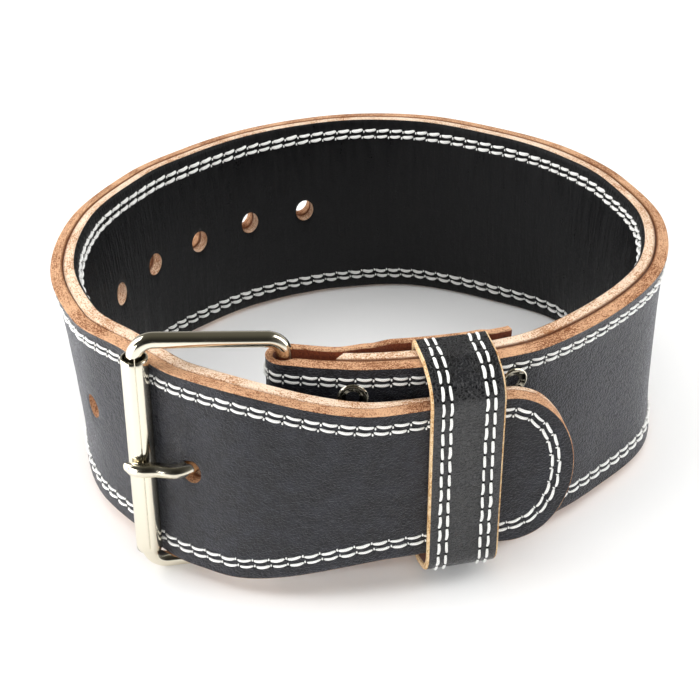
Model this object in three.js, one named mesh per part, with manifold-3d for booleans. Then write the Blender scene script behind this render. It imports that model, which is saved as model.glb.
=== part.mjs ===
// Weightlifting belt: a two-layer leather strap closed into a loop by a single-prong roller buckle.
// Millimetres, +Z up, +X along the front of the belt, +Y away from its front.
// The belt stands on its lower edge. Its front lies towards -Y, and the tail points towards +X.
import * as THREE from 'three';
import { mergeVertices } from 'three/addons/utils/BufferGeometryUtils.js';
import Module from 'manifold-3d';

const wasm = await Module();
wasm.setup();

// Strap
const strapWidth = 100;
const strapThickness = 12;
const skivedThickness = 3.2;
const edgeFlare = 2.4;
const loopWidth = 275;
const loopDepth = 256;
const loopLean = 4.3;

// Tail, the free end that lies over the buckle side
const tailLength = 113;
const tailStand = 14;
const tailWidth = 77;
const taperLength = 76;
const tailStraight = 79;
const tipLength = 28.5;

// Buckle end of the strap, folded round the buckle's bar and back along the inside
const returnLength = 106;
const foldClearance = 1.3;
const skiveLength = 6;
const innerLayerStart = 22;
const innerLayerSkive = 4.5;
const tailSkive = 3;
const tailSkiveStart = 110;
const tailSkiveRun = 60;

// Prong holes
const holeCount = 10;
const holePitch = 33.7;
const holeBeyondRoller = 21.2;
const holeWidth = 9.6;
const holeHeight = 11.8;
const holeLevel = 52;

// Buckle
const wireDiameter = 7;
const frameReach = 61.8;
const frameSlack = 9.8;
const frameTaper = 6;
const cornerRadius = 7.8;
const rollerDiameter = 11.5;
const rollerWall = 0.9;
const rollerSeam = 0.5;
const prongDepth = 5.6;
const prongHeight = 6.4;
const prongRise = 1.5;
const prongEyeWall = 2.8;
const eyeJoint = 0.7;
const slotMargin = 1.5;
const slotLength = 19;

// Keeper loop
const keeperWidth = 32;
const keeperThickness = 3;
const keeperCentre = 73.5;
const keeperShoulder = 8.5;
const keeperBend = 12;

// Rivets
const rivetHead = 13.5;
const rivetRim = 1.1;
const rivetDish = 1.4;
const rivetRound = 0.5;
const rivetShank = 6;
const rivetBore = 4.4;
const rivetBoreDepth = 0.6;
const rivetInset = 14.5;
const rivetPlaces = [29.5, 98];

// Gap between pieces that touch, and the wider one round the prong
const clearance = 0.3;
const prongClearance = 0.4;

// Steps of the facets
const loopStep = 10;
const tailStep = 7;
const tipSteps = 7;
const tipSweep = 83;
const foldSteps = 8;
const keeperSlices = 4;
const wireSides = 10;
const cornerSteps = 4;
const roundSides = 16;
const rivetSides = 12;
const searchSteps = 40;

const layerThickness = (strapThickness - clearance) / 2;
const middleHeight = strapWidth / 2;
const wireRadius = wireDiameter / 2;
const rollerRadius = rollerDiameter / 2;
const up = new THREE.Vector3(0, 0, 1);

// Outer face of the strap at half height, from the buckle's bar round the waist and back through
// the buckle. Across and back are shares of half the loop's width and depth, lean is a share of
// the largest lean, and flare is the share of the full outward curl of the edges.
const strapRows = [
  { across: -0.262, back: -0.817, lean: 0, flare: 0 },
  { across: -0.129, back: -0.833, lean: 0, flare: 0.15 },
  { across: 0.0, back: -0.834, lean: 0, flare: 0.35 },
  { across: 0.148, back: -0.816, lean: 0, flare: 0.5 },
  { across: 0.268, back: -0.792, lean: 0, flare: 0.65 },
  { across: 0.375, back: -0.762, lean: 0, flare: 0.85 },
  { across: 0.532, back: -0.68, lean: 0.25, flare: 1 },
  { across: 0.751, back: -0.488, lean: 0.2, flare: 1 },
  { across: 0.952, back: -0.209, lean: -0.12, flare: 1 },
  { across: 0.995, back: 0.137, lean: 0.12, flare: 1 },
  { across: 0.909, back: 0.439, lean: -0.07, flare: 1 },
  { across: 0.77, back: 0.684, lean: -0.84, flare: 1 },
  { across: 0.517, back: 0.862, lean: -0.51, flare: 1 },
  { across: 0.201, back: 0.989, lean: -0.37, flare: 1 },
  { across: -0.13, back: 0.974, lean: 0, flare: 1 },
  { across: -0.449, back: 0.845, lean: 0.09, flare: 1 },
  { across: -0.667, back: 0.671, lean: 0.19, flare: 1 },
  { across: -0.834, back: 0.478, lean: 0.33, flare: 1 },
  { across: -0.975, back: 0.132, lean: 0.91, flare: 1 },
  { across: -0.99, back: -0.207, lean: 1, flare: 1 },
  { across: -0.892, back: -0.52, lean: 0.65, flare: 0.9 },
  { across: -0.728, back: -0.721, lean: 0.2, flare: 0.5 },
  { across: -0.666, back: -0.802, lean: 0, flare: 0 },
  { across: -0.596, back: -0.868, lean: 0, flare: 0 },
  { across: -0.52, back: -0.913, lean: 0, flare: 0 },
  { across: -0.43, back: -0.958, lean: 0, flare: 0 },
  { across: -0.336, back: -0.984, lean: 0, flare: 0 },
];

// Tail over the buckle end. Along is a share of the tail's length from the bar to the tip, and
// stand is the gap behind the tail as a share of the gap at its tip.
const tailRows = [
  { along: 0.106, stand: 0.714 },
  { along: 0.28, stand: 0.557 },
  { along: 0.442, stand: 0.386 },
  { along: 0.525, stand: 0.314 },
  { along: 0.604, stand: 0.271 },
  { along: 0.69, stand: 0.25 },
  { along: 0.775, stand: 0.271 },
  { along: 0.854, stand: 0.46 },
  { along: 0.92, stand: 0.7 },
  { along: 1, stand: 1 },
];

// Return of the fold along the inside. Along is a share of its length from the bar, and bulge
// is a share of the room that the keeper takes behind it.
const returnRows = [
  { along: 0, bulge: 0 },
  { along: 0.2, bulge: 0 },
  { along: 0.35, bulge: 0.75 },
  { along: 0.46, bulge: 1.4 },
  { along: 0.54, bulge: 1.35 },
  { along: 0.85, bulge: 1.25 },
  { along: 0.92, bulge: 0.7 },
  { along: 1, bulge: 0.5 },
];

// Prong where it passes through the strap. Out is the way out of the strap's outer face as a share
// of its thickness, along is a share of the prong's depth, and rise is a share of the prong's rise.
const prongStrapRows = [
  { out: -1.233, along: 0.75, rise: 0 },
  { out: -0.6, along: 0.143, rise: 0.6 },
  { out: -0.025, along: -0.179, rise: 1 },
  { out: 0.35, along: -0.804, rise: 0.9 },
];

// Prong over the roller. Turn is the angle round the roller in degrees, gap is the way from the
// roller as a share of the prong's radius, and depth and height are shares of the prong's section.
const prongRollerRows = [
  { turn: -27, gap: 1.6, rise: 0.6, depth: 1, height: 1 },
  { turn: 5, gap: 0.95, rise: 0.45, depth: 0.9, height: 1 },
  { turn: 35, gap: 0.85, rise: 0.4, depth: 0.75, height: 0.95 },
  { turn: 57, gap: 0.85, rise: 0.4, depth: 0.5, height: 0.75 },
];

// Heights across the strap, from its lower edge at -1 to its upper edge at 1
const strapLevels = [-1, -0.8, 0, 0.8, 1];

// Interpolation
function smooth(share) {
  const held = THREE.MathUtils.clamp(share, 0, 1);
  return held * held * (3 - 2 * held);
}

function tableValue(rows, key, column, at) {
  const next = rows.findIndex((row) => row[key] > at);
  if (next === 0) return rows[0][column];
  if (next < 0) return rows[rows.length - 1][column];
  const from = rows[next - 1];
  const to = rows[next];
  return THREE.MathUtils.lerp(from[column], to[column], smooth((at - from[key]) / (to[key] - from[key])));
}

function smoothCurve(points) {
  const curve = new THREE.CatmullRomCurve3(points, false, 'centripetal');
  curve.arcLengthDivisions = points.length * 60;
  return curve;
}

function planFrame(curve, distance) {
  const share = THREE.MathUtils.clamp(distance / curve.getLength(), 0, 1);
  const point = curve.getPointAt(share);
  const tangent = curve.getTangentAt(share);
  const normal = new THREE.Vector3(tangent.y, -tangent.x, 0);
  return { point, tangent, normal };
}

// Solids
function closedSurface(points, triangles) {
  const corner = (index) => points[index];
  let volume = 0;
  for (const [a, b, c] of triangles) {
    volume += corner(a).dot(new THREE.Vector3().crossVectors(corner(b), corner(c)));
  }
  const faces = volume < 0 ? triangles.map(([a, b, c]) => [a, c, b]) : triangles;
  const geometry = new THREE.BufferGeometry();
  geometry.setAttribute('position', new THREE.Float32BufferAttribute(points.flatMap((p) => p.toArray()), 3));
  geometry.setIndex(faces.flat());
  return geometry;
}

function loft(rings, closed = false) {
  const count = rings[0].length;
  const triangles = [];
  const last = closed ? rings.length : rings.length - 1;
  for (let i = 0; i < last; i += 1) {
    const here = i * count;
    const next = ((i + 1) % rings.length) * count;
    for (let j = 0; j < count; j += 1) {
      const k = (j + 1) % count;
      triangles.push([here + j, next + j, next + k], [here + j, next + k, here + k]);
    }
  }
  if (!closed) {
    const end = (rings.length - 1) * count;
    for (let j = 0; j < count / 2 - 1; j += 1) {
      const far = count - 1 - j;
      triangles.push([j, j + 1, far - 1], [j, far - 1, far]);
      triangles.push([end + j, end + far - 1, end + j + 1], [end + j, end + far, end + far - 1]);
    }
  }
  return closedSurface(rings.flat(), triangles);
}

function toSolid(geometry) {
  const plain = geometry.clone();
  plain.deleteAttribute('normal');
  plain.deleteAttribute('uv');
  const merged = mergeVertices(plain, 1e-4);
  return new wasm.Manifold(new wasm.Mesh({
    numProp: 3,
    vertProperties: Float32Array.from(merged.attributes.position.array),
    triVerts: Uint32Array.from(merged.index.array),
  }));
}

function toGeometry(solid) {
  const mesh = solid.getMesh();
  const geometry = new THREE.BufferGeometry();
  geometry.setAttribute('position', new THREE.Float32BufferAttribute(mesh.vertProperties, 3));
  geometry.setIndex(Array.from(mesh.triVerts));
  return geometry;
}

function cutAll(geometry, cutters) {
  let solid = toSolid(geometry);
  for (const cutter of cutters) {
    solid = solid.subtract(toSolid(cutter));
  }
  return toGeometry(solid);
}

function roundedLoop(corners, radii, straightSteps) {
  const loop = [];
  corners.forEach((corner, i) => {
    const before = corners[(i + corners.length - 1) % corners.length];
    const after = corners[(i + 1) % corners.length];
    const inward = before.clone().sub(corner).normalize();
    const outward = after.clone().sub(corner).normalize();
    const half = Math.acos(THREE.MathUtils.clamp(inward.dot(outward), -1, 1)) / 2;
    const centre = inward.clone().add(outward).normalize().multiplyScalar(radii[i] / Math.sin(half)).add(corner);
    const start = corner.clone().addScaledVector(inward, radii[i] / Math.tan(half)).sub(centre);
    const sweep = Math.sign(inward.clone().multiplyScalar(-1).cross(outward)) * (Math.PI - 2 * half);
    for (let step = 0; step <= cornerSteps; step += 1) {
      const spoke = start.clone().rotateAround(new THREE.Vector2(), (sweep * step) / cornerSteps);
      loop.push({ point: centre.clone().add(spoke), normal: spoke.normalize() });
    }
  });
  const filled = [];
  loop.forEach((here, i) => {
    filled.push(here);
    const next = loop[(i + 1) % loop.length];
    const endsCorner = i % (cornerSteps + 1) === cornerSteps;
    for (let step = 1; endsCorner && step < straightSteps; step += 1) {
      const share = step / straightSteps;
      filled.push({
        point: here.point.clone().lerp(next.point, share),
        normal: here.normal.clone().lerp(next.normal, share).normalize(),
      });
    }
  });
  return filled;
}

// Course of the strap in plan
const planPoint = (row) => new THREE.Vector3((row.across * loopWidth) / 2, (row.back * loopDepth) / 2, 0);
const waistCurve = smoothCurve(strapRows.map(planPoint));

function tailStandAt(distance) {
  return tailStand * tableValue(tailRows, 'along', 'stand', distance / tailLength);
}

const tailPoints = tailRows.map((row) => {
  const billet = planFrame(waistCurve, row.along * tailLength);
  return billet.point.addScaledVector(billet.normal, strapThickness + tailStand * row.stand);
});
const strapCurve = smoothCurve([...strapRows.map(planPoint), ...tailPoints]);
const strapLength = strapCurve.getLength();
const rowLengths = strapCurve.getLengths(60 * (strapRows.length + tailRows.length - 1));
const strapTable = strapRows.map((row, i) => ({ ...row, distance: rowLengths[60 * i] }));

function halfHeightAt(distance) {
  const left = strapLength - distance;
  const taper = smooth((tailStraight + taperLength - left) / taperLength);
  const half = THREE.MathUtils.lerp(strapWidth, tailWidth, taper) / 2;
  const round = THREE.MathUtils.clamp(1 - left / tipLength, 0, 1);
  return half * Math.sqrt(1 - round * round);
}

function strapStation(distance) {
  return {
    ...planFrame(strapCurve, distance),
    lean: loopLean * tableValue(strapTable, 'distance', 'lean', distance),
    flare: edgeFlare * tableValue(strapTable, 'distance', 'flare', distance),
    half: halfHeightAt(distance),
    pivot: strapThickness / 2,
  };
}

// Point at a level across the strap and a depth below its outer face, with the face's own normal
function strapPoint(station, level, depth) {
  const height = level * station.half;
  const share = height / middleHeight;
  const offset = station.flare * share ** 4 + station.lean * share;
  const slope = (4 * station.flare * share ** 3 + station.lean) / middleHeight;
  const normal = station.normal.clone().addScaledVector(up, -slope).normalize();
  const point = station.point.clone().addScaledVector(station.normal, offset - station.pivot);
  point.z = middleHeight + height;
  point.addScaledVector(normal, station.pivot - depth);
  return { point, normal };
}

function ribbonRing(station, outerDepth, innerDepth, skive = 0) {
  const outer = strapLevels.map((level) => strapPoint(station, level, outerDepth).point);
  const inner = strapLevels.map((level) => strapPoint(station, level, innerDepth).point);
  inner.forEach((point) => point.addScaledVector(station.tangent, skive));
  return [...outer, ...inner.reverse()];
}

function strapDistances(start) {
  const taperStart = strapLength - tailStraight - taperLength;
  const tipStart = strapLength - tipLength;
  const distances = [];
  const stretch = (from, to, step) => {
    const count = Math.ceil((to - from) / step);
    for (let i = 0; i < count; i += 1) distances.push(from + ((to - from) * i) / count);
  };
  stretch(start, taperStart, loopStep);
  stretch(taperStart, tipStart, tailStep);
  for (let i = 0; i <= tipSteps; i += 1) {
    distances.push(tipStart + tipLength * Math.sin((i / tipSteps) * THREE.MathUtils.degToRad(tipSweep)));
  }
  return distances;
}

// Buckle places in plan
const foldRadius = wireRadius + foldClearance + skivedThickness;
const foldFrame = planFrame(strapCurve, 0);
const bar = foldFrame.point.clone().addScaledVector(foldFrame.normal, -foldRadius);

function rollerAxisAt(distance) {
  const { point, normal, flare, lean } = strapStation(distance);
  return point.addScaledVector(normal, flare + Math.abs(lean) + clearance + rollerRadius);
}

function findRollerDistance() {
  const reachAt = (distance) => rollerAxisAt(distance).distanceTo(bar) - frameReach;
  let near = strapTable[strapTable.length - 1].distance;
  while (reachAt(near) < 0) near -= loopStep / 4;
  let far = near;
  near += loopStep / 4;
  for (let i = 0; i < searchSteps; i += 1) {
    const middle = (near + far) / 2;
    if (reachAt(middle) < 0) near = middle;
    else far = middle;
  }
  return (near + far) / 2;
}

const rollerDistance = findRollerDistance();
const rollerAxis = rollerAxisAt(rollerDistance);
const frameAlong = rollerAxis.clone().sub(bar).normalize();
const frameOut = new THREE.Vector3(-frameAlong.y, frameAlong.x, 0);
const frameBottom = -(wireRadius + clearance);
const frameTop = strapWidth + frameSlack + wireRadius;
const holeStation = strapStation(rollerDistance + holeBeyondRoller);

// Buckle frame: a round wire bent into a closed four-cornered loop
function makeBuckleFrame(growth = 0) {
  const corners = [
    new THREE.Vector2(0, frameBottom),
    new THREE.Vector2(frameReach, frameBottom),
    new THREE.Vector2(frameReach, frameTop),
    new THREE.Vector2(0, frameTop - frameTaper),
  ];
  const rings = roundedLoop(corners, corners.map(() => cornerRadius), 1).map(({ point, normal }) => {
    const centre = bar.clone().addScaledVector(frameAlong, point.x).setZ(point.y);
    const spoke = frameAlong.clone().multiplyScalar(normal.x).setZ(normal.y).normalize();
    return Array.from({ length: wireSides }, (_, i) => {
      const angle = (2 * Math.PI * i) / wireSides;
      return centre.clone()
        .addScaledVector(spoke, (wireRadius + growth) * Math.cos(angle))
        .addScaledVector(frameOut, (wireRadius + growth) * Math.sin(angle));
    });
  });
  return loft(rings, true);
}

// Roller: a tube rolled from sheet, with its open seam on the side that faces out
function makeRoller() {
  const length = frameTop - frameBottom - 2 * (cornerRadius + clearance);
  const seam = Math.atan2(frameOut.y, frameOut.x);
  const halfGap = rollerSeam / rollerDiameter;
  const inner = rollerRadius - rollerWall;
  const section = new THREE.Shape();
  section.absarc(0, 0, rollerRadius, seam + halfGap, seam - halfGap + 2 * Math.PI, false);
  section.absarc(0, 0, inner, seam - halfGap + 2 * Math.PI, seam + halfGap, true);
  const geometry = new THREE.ExtrudeGeometry(section, {
    depth: length, bevelEnabled: false, curveSegments: roundSides,
  });
  geometry.translate(0, 0, -length / 2);
  return geometry;
}

// Prong: an eye round the bar and a shank that passes through the strap and rests on the roller
const prongEyeRadius = wireRadius + clearance + prongEyeWall;
const prongRadius = prongDepth / 2;

function prongGuide() {
  const { point, tangent, normal } = holeStation;
  const throughStrap = (depth, along, height) => point.clone()
    .addScaledVector(normal, depth).addScaledVector(tangent, along).setZ(height);
  const roundRoller = (degrees, gap, height) => {
    const angle = THREE.MathUtils.degToRad(degrees);
    return rollerAxis.clone()
      .addScaledVector(frameOut, (rollerRadius + gap) * Math.cos(angle))
      .addScaledVector(frameAlong, (rollerRadius + gap) * Math.sin(angle))
      .setZ(height);
  };
  const inStrap = prongStrapRows.map(({ out, along, rise }) => ({
    point: throughStrap(out * strapThickness, along * prongDepth, holeLevel + rise * prongRise),
    depth: 1,
    height: 1,
  }));
  const onRoller = prongRollerRows.map(({ turn, gap, rise, depth, height }) => ({
    point: roundRoller(turn, gap * prongRadius + clearance, holeLevel + rise * prongRise),
    depth,
    height,
  }));
  const entry = inStrap[0].point;
  const towards = entry.clone().sub(bar).setZ(0).normalize();
  const start = bar.clone().addScaledVector(towards, prongEyeRadius - prongEyeWall * eyeJoint).setZ(holeLevel);
  return [
    { point: start, depth: 0.8, height: 0.9 },
    { point: start.clone().lerp(entry, 0.5), depth: 1, height: 1 },
    ...inStrap,
    ...onRoller,
  ];
}

function prongRings(growth) {
  const guide = prongGuide();
  const curve = smoothCurve(guide.map((row) => row.point));
  const stepsPerRow = 3;
  const steps = stepsPerRow * (guide.length - 1);
  const rings = [];
  for (let i = 0; i <= steps; i += 1) {
    const row = Math.min(Math.floor(i / stepsPerRow), guide.length - 2);
    const share = i / stepsPerRow - row;
    const depth = prongRadius * THREE.MathUtils.lerp(guide[row].depth, guide[row + 1].depth, share) + growth;
    const height = (prongHeight / 2) * THREE.MathUtils.lerp(guide[row].height, guide[row + 1].height, share) + growth;
    const centre = curve.getPoint(i / steps);
    const tangent = curve.getTangent(i / steps);
    const side = new THREE.Vector3().crossVectors(tangent, up).normalize();
    const rise = new THREE.Vector3().crossVectors(side, tangent).normalize();
    rings.push(Array.from({ length: wireSides }, (_, j) => {
      const angle = (2 * Math.PI * j) / wireSides;
      return centre.clone()
        .addScaledVector(side, depth * Math.cos(angle))
        .addScaledVector(rise, height * Math.sin(angle));
    }));
  }
  return rings;
}

function makeProng() {
  const inner = wireRadius + clearance;
  const halfHeight = prongHeight / 2;
  const profile = [
    new THREE.Vector2(inner, -halfHeight),
    new THREE.Vector2(prongEyeRadius, -halfHeight),
    new THREE.Vector2(prongEyeRadius, halfHeight),
    new THREE.Vector2(inner, halfHeight),
    new THREE.Vector2(inner, -halfHeight),
  ];
  const eye = new THREE.LatheGeometry(profile, roundSides);
  eye.rotateX(Math.PI / 2);
  eye.translate(bar.x, bar.y, holeLevel);
  return toGeometry(toSolid(eye).add(toSolid(loft(prongRings(0)))));
}

// Punches
function punch(shape, frame, height, outside, inside) {
  const geometry = new THREE.ExtrudeGeometry(shape, {
    depth: outside + inside, bevelEnabled: false, curveSegments: roundSides / 4,
  });
  const origin = frame.point.clone().addScaledVector(frame.normal, -inside).setZ(height);
  const matrix = new THREE.Matrix4().makeBasis(frame.tangent, up, frame.normal).setPosition(origin);
  return geometry.applyMatrix4(matrix);
}

function prongHoleCutters() {
  const oval = new THREE.Shape();
  oval.absellipse(0, 0, holeWidth / 2, holeHeight / 2, 0, 2 * Math.PI);
  const reach = strapThickness / 2;
  return Array.from({ length: holeCount }, (_, i) => {
    const station = strapStation(rollerDistance + holeBeyondRoller - i * holePitch);
    return punch(oval, station, holeLevel, reach, strapThickness + reach);
  });
}

function prongPassage() {
  return loft(prongRings(prongClearance));
}

function slotCutter() {
  const half = prongHeight / 2 + slotMargin;
  const slot = new THREE.Shape();
  slot.absarc(slotLength - foldRadius - half, 0, half, -Math.PI / 2, Math.PI / 2, false);
  slot.lineTo(-2 * foldRadius, half);
  slot.lineTo(-2 * foldRadius, -half);
  return punch(slot, foldFrame, holeLevel, foldRadius / 2, 2.5 * foldRadius);
}

// Return of the fold
function returnDepth(distance) {
  const room = keeperThickness + 2 * clearance;
  const bulge = room * tableValue(returnRows, 'along', 'bulge', distance / returnLength);
  const stacked = strapThickness + clearance + skivedThickness + bulge;
  return THREE.MathUtils.lerp(2 * foldRadius, stacked, smooth(distance / innerLayerStart));
}

function returnStation(distance) {
  const billet = strapStation(distance);
  const depth = returnDepth(distance);
  return {
    point: billet.point.addScaledVector(billet.normal, -depth),
    tangent: billet.tangent.negate(),
    normal: billet.normal.negate(),
    lean: 0,
    flare: 0,
    half: billet.half,
    pivot: 0,
  };
}

function foldStation(angle) {
  const { tangent, normal } = foldFrame;
  const spoke = normal.clone().multiplyScalar(-Math.cos(angle)).addScaledVector(tangent, -Math.sin(angle));
  const along = normal.clone().multiplyScalar(Math.sin(angle)).addScaledVector(tangent, -Math.cos(angle));
  return {
    point: bar.clone().addScaledVector(spoke, foldRadius),
    tangent: along,
    normal: spoke,
    lean: 0,
    flare: 0,
    half: middleHeight,
    pivot: 0,
  };
}

// Outer layer: return, fold, waist and tail in one strip
function makeOuterLayer(cutters) {
  const rings = [];
  const returnSteps = Math.ceil(returnLength / loopStep);
  for (let i = 0; i < returnSteps; i += 1) {
    const distance = returnLength * (1 - i / returnSteps);
    rings.push(ribbonRing(returnStation(distance), 0, skivedThickness));
  }
  for (let i = 0; i <= foldSteps; i += 1) {
    rings.push(ribbonRing(foldStation((Math.PI * i) / foldSteps), 0, skivedThickness));
  }
  for (const distance of [skiveLength / 3, (2 * skiveLength) / 3, ...strapDistances(skiveLength)]) {
    const share = smooth(distance / skiveLength);
    rings.push(ribbonRing(strapStation(distance), 0, THREE.MathUtils.lerp(skivedThickness, layerThickness, share)));
  }
  return cutAll(loft(rings), cutters);
}

// Inner layer: from its cut end behind the fold round to the tail's tip, thinner towards the tip
function makeInnerLayer(cutters) {
  const rings = strapDistances(innerLayerStart).map((distance, i) => {
    const skive = i === 0 ? innerLayerSkive : 0;
    const left = strapLength - distance;
    const innerDepth = strapThickness - tailSkive * smooth((tailSkiveStart - left) / tailSkiveRun);
    return ribbonRing(strapStation(distance), strapThickness - layerThickness, innerDepth, skive);
  });
  return cutAll(loft(rings), cutters);
}

// Keeper: a leather loop round the tail and the buckle end, its back run behind the return
function crossing(distances, pointAt, origin, tangent, normal) {
  const offsets = distances.map((distance) => pointAt(distance).sub(origin));
  const past = offsets.findIndex((offset) => offset.dot(tangent) > 0);
  const to = offsets[past];
  const from = offsets[past - 1];
  const share = from.dot(tangent) / (from.dot(tangent) - to.dot(tangent));
  return THREE.MathUtils.lerp(from.dot(normal), to.dot(normal), share);
}

function makeKeeper() {
  const middle = strapStation(keeperCentre);
  const billetDistances = Array.from({ length: 2 * searchSteps }, (_, i) => (
    keeperCentre + (i / searchSteps - 1) * keeperWidth
  ));
  const billetAt = (distance) => planFrame(waistCurve, distance).point;
  const tailAt = (distance) => {
    const { point, normal } = planFrame(waistCurve, distance);
    return point.addScaledVector(normal, strapThickness + tailStandAt(distance));
  };
  const edgeRise = (strapThickness / 2) * (4 * middle.flare) / middleHeight;
  const overEdge = middleHeight + edgeRise + clearance + keeperThickness / 2;
  const shoulder = tailWidth / 2 + keeperShoulder;
  const loops = Array.from({ length: keeperSlices + 1 }, (_, i) => {
    const origin = middle.point.clone().addScaledVector(middle.tangent, keeperWidth * (i / keeperSlices - 0.5));
    const billet = crossing(billetDistances, billetAt, origin, middle.tangent, middle.normal);
    const tail = crossing(billetDistances, tailAt, origin, middle.tangent, middle.normal);
    const back = billet - strapThickness - clearance - keeperThickness / 2;
    const front = tail + clearance + keeperThickness / 2;
    const over = billet + keeperThickness;
    const corners = [
      [back, -overEdge], [over, -overEdge], [front, -shoulder],
      [front, shoulder], [over, overEdge], [back, overEdge],
    ].map(([out, height]) => new THREE.Vector2(out, height));
    const radii = [keeperThickness, 3 * keeperThickness, keeperBend];
    const loop = roundedLoop(corners, [...radii, ...radii.slice().reverse()], 2);
    return { origin, loop };
  });
  const rings = loops[0].loop.map((_, i) => {
    const side = (sign) => loops.map(({ origin, loop }) => {
      const at = loop[i].point.clone().addScaledVector(loop[i].normal, (sign * keeperThickness) / 2);
      return origin.clone().addScaledVector(middle.normal, at.x).setZ(middleHeight + at.y);
    });
    return [...side(1), ...side(-1).reverse()];
  });
  return loft(rings, true);
}

// Rivets: dished heads with an open bore, set through the whole stack at the buckle end
function rivetSeats() {
  const seats = [];
  for (const distance of rivetPlaces) {
    for (const level of [1 - rivetInset / middleHeight, rivetInset / middleHeight - 1]) {
      const station = strapStation(distance);
      seats.push({ ...strapPoint(station, level, 0), tangent: station.tangent, depth: returnDepth(distance) });
    }
  }
  return seats;
}

function makeRivet(depth) {
  const head = rivetHead / 2;
  const shank = rivetShank / 2;
  const bore = rivetBore / 2;
  const boreEnd = -rivetBoreDepth * depth;
  const under = clearance;
  const crest = under + rivetRim;
  const inside = -depth - clearance;
  const profile = [
    [0, boreEnd], [bore, boreEnd], [bore, under], [head - rivetDish, crest],
    [head - rivetRound, crest], [head, crest - rivetRound], [head, under],
    [shank, under], [shank, inside], [head - rivetRound, inside],
    [head - 2 * rivetRound, inside - rivetRim], [0, inside - rivetRim],
  ];
  return new THREE.LatheGeometry(profile.map(([r, h]) => new THREE.Vector2(r, h)).reverse(), rivetSides);
}

function rivetCutter(seat) {
  const bore = rivetShank / 2 + clearance;
  const recess = rivetHead / 2 + clearance;
  const above = rivetShank / 2;
  const inside = -seat.depth;
  const below = inside - above;
  const profile = [
    [0, above], [recess, above], [recess, 0], [bore, 0],
    [bore, inside], [recess, inside], [recess, below], [0, below],
  ];
  const geometry = new THREE.LatheGeometry(profile.map(([r, h]) => new THREE.Vector2(r, h)).reverse(), rivetSides);
  return geometry.applyMatrix4(rivetMatrix(seat));
}

function rivetMatrix(seat) {
  const side = new THREE.Vector3().crossVectors(seat.tangent, seat.normal);
  return new THREE.Matrix4().makeBasis(seat.tangent, seat.normal, side).setPosition(seat.point);
}

// Materials
const blackLeather = new THREE.MeshStandardMaterial({ color: '#1c1c20', roughness: 0.45, metalness: 0 });
const tanLeather = new THREE.MeshStandardMaterial({ color: '#d9a577', roughness: 0.9, metalness: 0 });
const nickelPlate = new THREE.MeshStandardMaterial({ color: '#e9e2d0', roughness: 0.15, metalness: 1 });

// Assembly
const belt = new THREE.Group();

function add(name, geometry, material) {
  const mesh = new THREE.Mesh(geometry, material.clone());
  mesh.name = name;
  belt.add(mesh);
  return mesh;
}

const seats = rivetSeats();
const layerCutters = [...prongHoleCutters(), prongPassage(), ...seats.map(rivetCutter)];
const wirePassage = makeBuckleFrame(clearance * 0.8);
add('outer_layer', makeOuterLayer([...layerCutters, slotCutter(), wirePassage]), blackLeather);
add('inner_layer', makeInnerLayer(layerCutters), tanLeather);
add('buckle_frame', makeBuckleFrame(), nickelPlate);
add('roller', makeRoller(), nickelPlate).position.copy(rollerAxis).setZ((frameTop + frameBottom) / 2);
add('prong', makeProng(), nickelPlate);
add('keeper', makeKeeper(), blackLeather);
seats.forEach((seat, i) => {
  const rivet = add(`rivet_${i + 1}`, makeRivet(seat.depth), nickelPlate);
  rivetMatrix(seat).decompose(rivet.position, rivet.quaternion, rivet.scale);
});

// Rest: the belt leans back until the buckle's lower wire and the far lower edge are level
const foot = bar.clone().addScaledVector(frameAlong, cornerRadius).setZ(frameBottom - wireRadius);
const heading = foot.clone().setZ(0).negate().normalize();
const farEdge = strapDistances(0)
  .map((distance) => strapPoint(strapStation(distance), -1, strapThickness).point)
  .reduce((best, point) => (point.dot(heading) > best.dot(heading) ? point : best));
const span = farEdge.clone().sub(foot).dot(heading);
const leanBack = Math.atan2(farEdge.z - foot.z, span);

const part = new THREE.Group();
part.add(belt);
belt.quaternion.setFromAxisAngle(new THREE.Vector3().crossVectors(up, heading), leanBack);
part.updateMatrixWorld(true);
const bounds = new THREE.Box3().setFromObject(part, true);
belt.position.set(-(bounds.min.x + bounds.max.x) / 2, -(bounds.min.y + bounds.max.y) / 2, -bounds.min.z);
part.updateMatrixWorld(true);

export default part;
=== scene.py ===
"""Leather weightlifting belt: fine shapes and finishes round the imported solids.

The strap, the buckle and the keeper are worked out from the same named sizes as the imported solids, in
millimetres in the belt's own frame. Every mesh is then placed in the row frame in metres.
"""
import logging
import math
from dataclasses import dataclass, field
from enum import Enum, IntEnum
from typing import Any, Callable, Sequence

import bmesh
import bpy
import numpy as np
from mathutils import Matrix, Vector


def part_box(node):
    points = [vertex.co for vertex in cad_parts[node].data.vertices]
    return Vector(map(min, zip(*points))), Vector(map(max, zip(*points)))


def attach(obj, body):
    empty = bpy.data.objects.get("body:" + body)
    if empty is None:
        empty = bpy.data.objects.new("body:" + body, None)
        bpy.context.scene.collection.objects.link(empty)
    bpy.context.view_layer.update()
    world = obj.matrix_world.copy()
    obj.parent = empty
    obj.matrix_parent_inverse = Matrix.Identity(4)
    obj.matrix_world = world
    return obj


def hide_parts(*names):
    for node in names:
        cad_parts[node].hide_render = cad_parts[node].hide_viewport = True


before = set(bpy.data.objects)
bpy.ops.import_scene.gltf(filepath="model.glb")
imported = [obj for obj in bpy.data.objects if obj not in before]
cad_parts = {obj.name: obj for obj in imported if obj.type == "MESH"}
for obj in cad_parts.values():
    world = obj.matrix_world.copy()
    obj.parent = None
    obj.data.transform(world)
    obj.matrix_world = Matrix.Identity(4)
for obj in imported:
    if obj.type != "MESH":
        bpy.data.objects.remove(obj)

LOG = logging.getLogger("belt")
MM = 0.001
SEED = 4775

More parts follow.
